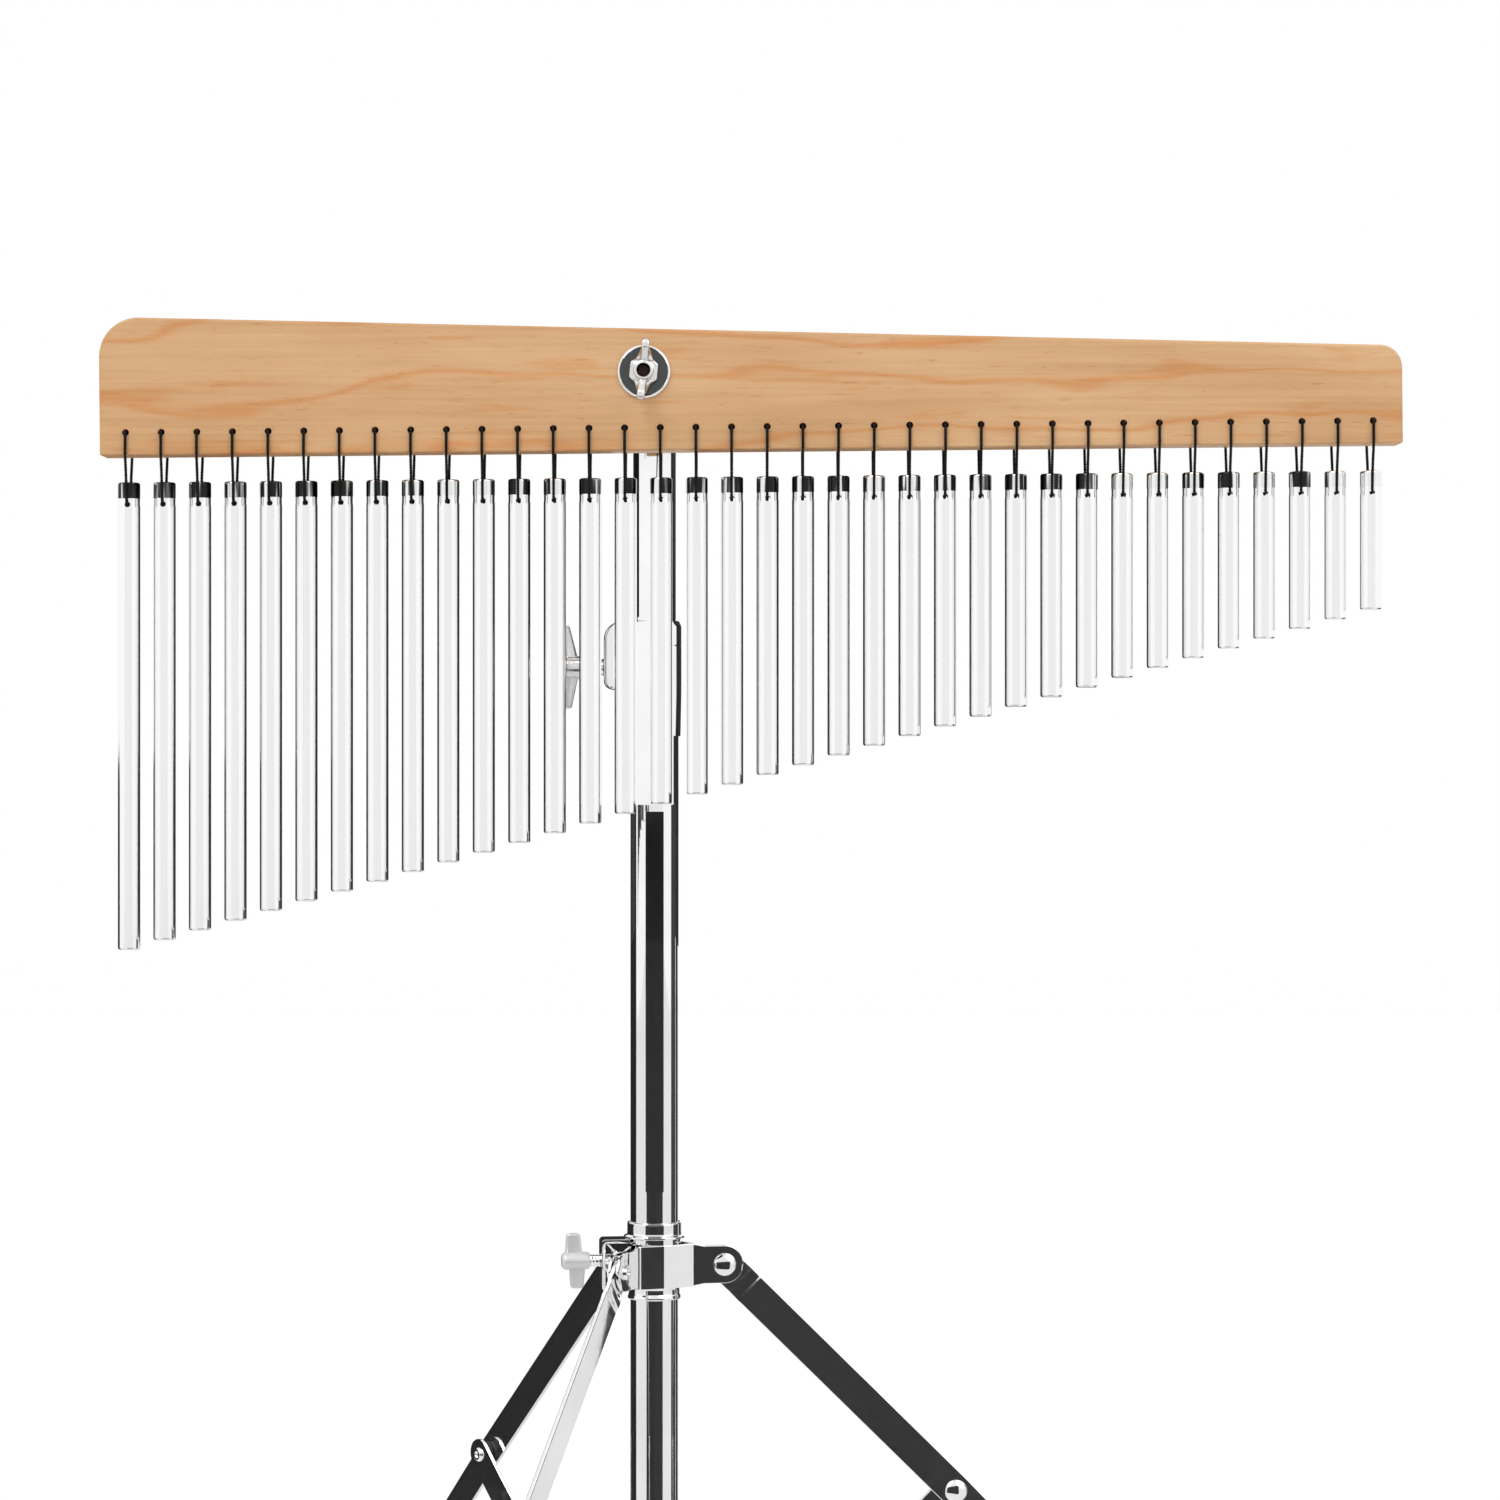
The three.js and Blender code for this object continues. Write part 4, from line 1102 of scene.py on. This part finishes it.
def make_leg(name):
    place = leg_place(name, hub_z)
    pivot = Vector((PIVOT, 0))
    first_way, reach = (BRACE_TOP - pivot).normalized(), (BRACE_TOP - pivot).length

    def centre(s):
        if s < reach - 1:
            return pivot + first_way * s, Vector((-first_way.y, first_way.x))
        return BRACE_TOP + ALONG * (s - reach), Vector((-ALONG.y, ALONG.x))

    def pressed(s):
        return -1 + 0.45 * (eased(s, 8.8, 12) - eased(s, 14.5, 18))

    stops = [(-STRIP_WIDTH / 2, 0.5), (0, 4), (8, 0.5), (18, 9)]
    stops += [(reach - 2, 4), (reach + 2, 12), (LEG_LENGTH, 1)]
    strip = swept_strip(place, steps_along(stops), 2, centre, pressed, False)
    cutter = along_y("cutter", solid_profile(2.7, -3, 3), 24, place, (PIVOT, 0, 0))
    combine(strip, [cutter], "DIFFERENCE", sharp=60)
    head = rivet_head(place, BRACE_TOP.x, BRACE_TOP.y, -1)
    leg = join("leg_%s_piece" % name, [strip, head])
    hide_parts("leg_" + name)
    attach(leg, "leg_" + name)

    # rubber boot
    heel = leg_point(LEG_LENGTH - 28, LEG_LINE - 10.5)
    instep = leg_point(LEG_LENGTH - 28, LEG_LINE + 10.5)
    end = leg_point(LEG_LENGTH, LEG_LINE)
    ground = -hub_z
    corners = [(heel.x, heel.y, 2.5), (end.x - 11, ground, 2), (end.x + 9, ground, 3)]
    corners += [(end.x + 9, ground + 9, 5), (instep.x, instep.y, 2.5)]
    boot = plate("foot_%s_boot" % name, outline(corners), -4.3, 4.3, place, 1.6, rubber)
    start, stop, low, high = LEG_LENGTH - 33, LEG_LENGTH + 0.3, LEG_LINE - 7.8, LEG_LINE + 7.8
    slot_corners = [leg_point(a, u) for a, u in ((start, low), (stop, low), (stop, high), (start, high))]
    slot = plate("slot", outline(slot_corners), -EAR_GAP, EAR_GAP, place, 0.05)
    combine(boot, [slot], "DIFFERENCE", sharp=50)
    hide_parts("foot_" + name)
    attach(boot, "leg_" + name)


def make_brace(name):
    """A strip whose top stands off the leg on a dark spacer, and comes back to the leg in a long bend."""
    place = leg_place(name, hub_z)
    span = BRACE_FOOT - BRACE_TOP
    direction = span.normalized()
    turn = Matrix.Rotation(atan2(direction.y, direction.x), 2)
    thick, lift = 1.5, 3.5

    def centre(s):
        return BRACE_TOP + turn @ Vector((s, 0)), turn @ Vector((0, 1))

    def joggle(s):
        return EAR_GAP + lift * (1 - eased(s, 11, 95))

    half = STRIP_WIDTH / 2
    end = span.length + half
    spots = steps_along([(-half, 0.5), (0, 2), (10, 3), (96, 8), (end - half, 0.5), (end, 1)])
    main = swept_strip(place, spots, thick, centre, joggle, True)
    cutter = along_y("cutter", solid_profile(2.7, 0, 8), 24, place, (BRACE_FOOT.x, 0, BRACE_FOOT.y))
    combine(main, [cutter], "DIFFERENCE")
    tail = rivet_tail(place, BRACE_TOP.x, BRACE_TOP.y, EAR_GAP + lift + thick)
    shank = pin(place, BRACE_TOP.x, BRACE_TOP.y, 1.1, EAR_GAP + lift + 0.5)
    spacer = pin(place, BRACE_TOP.x, BRACE_TOP.y, EAR_GAP, 1.4 + lift, 5.5)
    spacer.data.materials[0] = nylon
    brace = join("brace_%s_piece" % name, [main, tail, shank, spacer])
    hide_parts("brace_" + name)
    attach(brace, "brace_" + name)


for leg_name in LEGS:
    make_leg(leg_name)
    make_brace(leg_name)


# Lower collar


def make_lower_collar():
    place = TUBE @ Matrix.Translation((0, 0, lower_z))
    profile = [(BORE, -8), (13.2, -8), (13.5, -7.4), (13.5, 7.4), (13.2, 8), (BORE, 8), (BORE, -8)]
    parts = [lathe("lower_ring", profile, 96, place, 0.4, chrome)]
    for name in LEGS:
        place = leg_place(name, lower_z)
        points = outline([(11.8, -7), (PIVOT + 7, -7, 6.8), (PIVOT + 7, 7, 6.8), (11.8, 7)], 10)
        parts.append(plate("lower_ear", points, 3.1, 4.6, place, 0.3, chrome))
        parts.append(pin(place, PIVOT, 0, 0.9, 3.6))
        parts.append(rivet_tail(place, PIVOT, 0, 4.6))
        cap = rounded(solid_profile(3.4, -1.3, 0), 0.35)
        parts.append(along_y("cap", cap, 32, place, (PIVOT, 1, 0), material=chrome))
    collar = join("lower_collar_piece", parts)
    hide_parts("lower_collar")
    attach(collar, "stand")


make_lower_collar()


# Beam bracket, bolt, washer and wing nut


def make_beam_fixings():
    axis_x, axis_y = tube_x - bolt.x, tube_y - bolt.y
    bottom, top, foot = -30.5, -10.5, -22.1
    corners = [(-11, foot, 2), (11, foot, 2), (11, 11, 10.6), (-11, 11, 10.6)]
    bracket = plate("beam_bracket_piece", outline(corners, 12), 9.3, 12.3, BEAM, 0.6, chrome)
    left, right = axis_x - 7, axis_x + 7
    neck_points = outline([(left, foot), (right, foot), (right, top), (left, top)])
    neck = plate("neck", neck_points, 9.6, axis_y - 9, BEAM, 0.5, chrome)
    socket_place = BEAM @ Matrix.Translation((axis_x, axis_y, 0))
    profile = [(0, top), (12.25, top), (12.25, bottom), (10.05, bottom), (10.05, top - 2), (0, top - 2)]
    socket = lathe("socket", profile, 64, socket_place, 0.5, chrome)
    bore = new_object("bore", *lathe_data(solid_profile(10.05, bottom - 1, top - 2), 64), socket_place)
    bolt_hole = along_y("bolt_hole", solid_profile(M6_HOLE, 5, 20), 32, BEAM)
    combine(bracket, [neck, socket])
    combine(bracket, [bore, bolt_hole], "DIFFERENCE")
    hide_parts("beam_bracket")
    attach(bracket, "upper_tube")

    shank = along_y("bolt_shank", threaded_profile(3, -14.5, 12.8, 1), 32, BEAM, material=dark_bolt)
    corner_angles = [pi * k / 3 for k in range(6)]
    head_points = [Vector((5.5 * cos(a), 5.5 * sin(a))) for a in corner_angles]
    head = plate("bolt_head", head_points, 12.6, 16.6, BEAM, 0.5, chrome)
    whole = join("beam_bolt_piece", [shank, head])
    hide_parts("beam_bolt")
    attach(whole, "upper_tube")

    profile = [(M6_HOLE, 0), (12, 0), (12, 0.7), (11.2, 1.5), (10.7, 1.15), (M6_HOLE, 1.15), (M6_HOLE, 0)]
    profile = rounded(profile, 0.2)
    washer = along_y("beam_washer_piece", profile, 96, BEAM, (0, -9.3, 0), -1, washer_metal, 25)
    washer.data.materials.append(chrome)
    for face in washer.data.polygons:
        away = face.center / MM - bolt
        face.material_index = 1 if Vector((away.x, away.z)).length > 10.85 else 0
    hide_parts("beam_washer")
    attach(washer, "beam")

    nut_place = BEAM @ Matrix.Translation((0, -11.1, 0)) @ Matrix.Rotation(radians(6), 4, "Y")
    corners = [(-6.3, -3.4, 1.5), (-3.2, -6.3, 1.5), (3.2, -6.3, 1.5), (6.3, -3.4, 1.5)]
    corners += [(-x, -z, r) for x, z, r in corners]
    base = plate("nut_base", outline(corners, 5), -3.2, 0, nut_place, 0.7, cast_nickel)
    profile = rounded([(0, 0), (5.3, 0), (4.4, 6.2), (3.9, 6.5), (0, 6.5)], 0.4)
    barrel = along_y("barrel", profile, 48, nut_place, way=-1, material=cast_nickel)
    wings = []
    wing_place = nut_place @ Matrix.Rotation(pi / 2, 4, "Z")
    for side in (1, -1):
        corners = [(-1.8, 2, 0), (-1.8, 8, 2), (-6.5, 13.8, 2), (-11, 13.8, 2.2), (-11, 10, 2), (-6, 4, 0)]
        points = outline([(d, side * u, r) for d, u, r in corners], 8)
        wings.append(plate("wing", points, -1.8, 1.8, wing_place, 1, cast_nickel))
        root = [(-4, side * 4.5), (4, side * 4.5), (1.8, side * 10.3), (-1.8, side * 10.3)]
        wings.append(plate("root", outline(root), -4.4, -1.2, nut_place, 0.9, cast_nickel))
    bore = along_y("bore", solid_profile(3.15, -2, 9), 32, nut_place, way=-1)
    combine(base, [barrel] + wings, sharp=50)
    combine(base, [bore], "DIFFERENCE", sharp=50)
    base.name = "beam_wing_nut_piece"
    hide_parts("beam_wing_nut")
    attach(base, "beam_wing_nut")


make_beam_fixings()
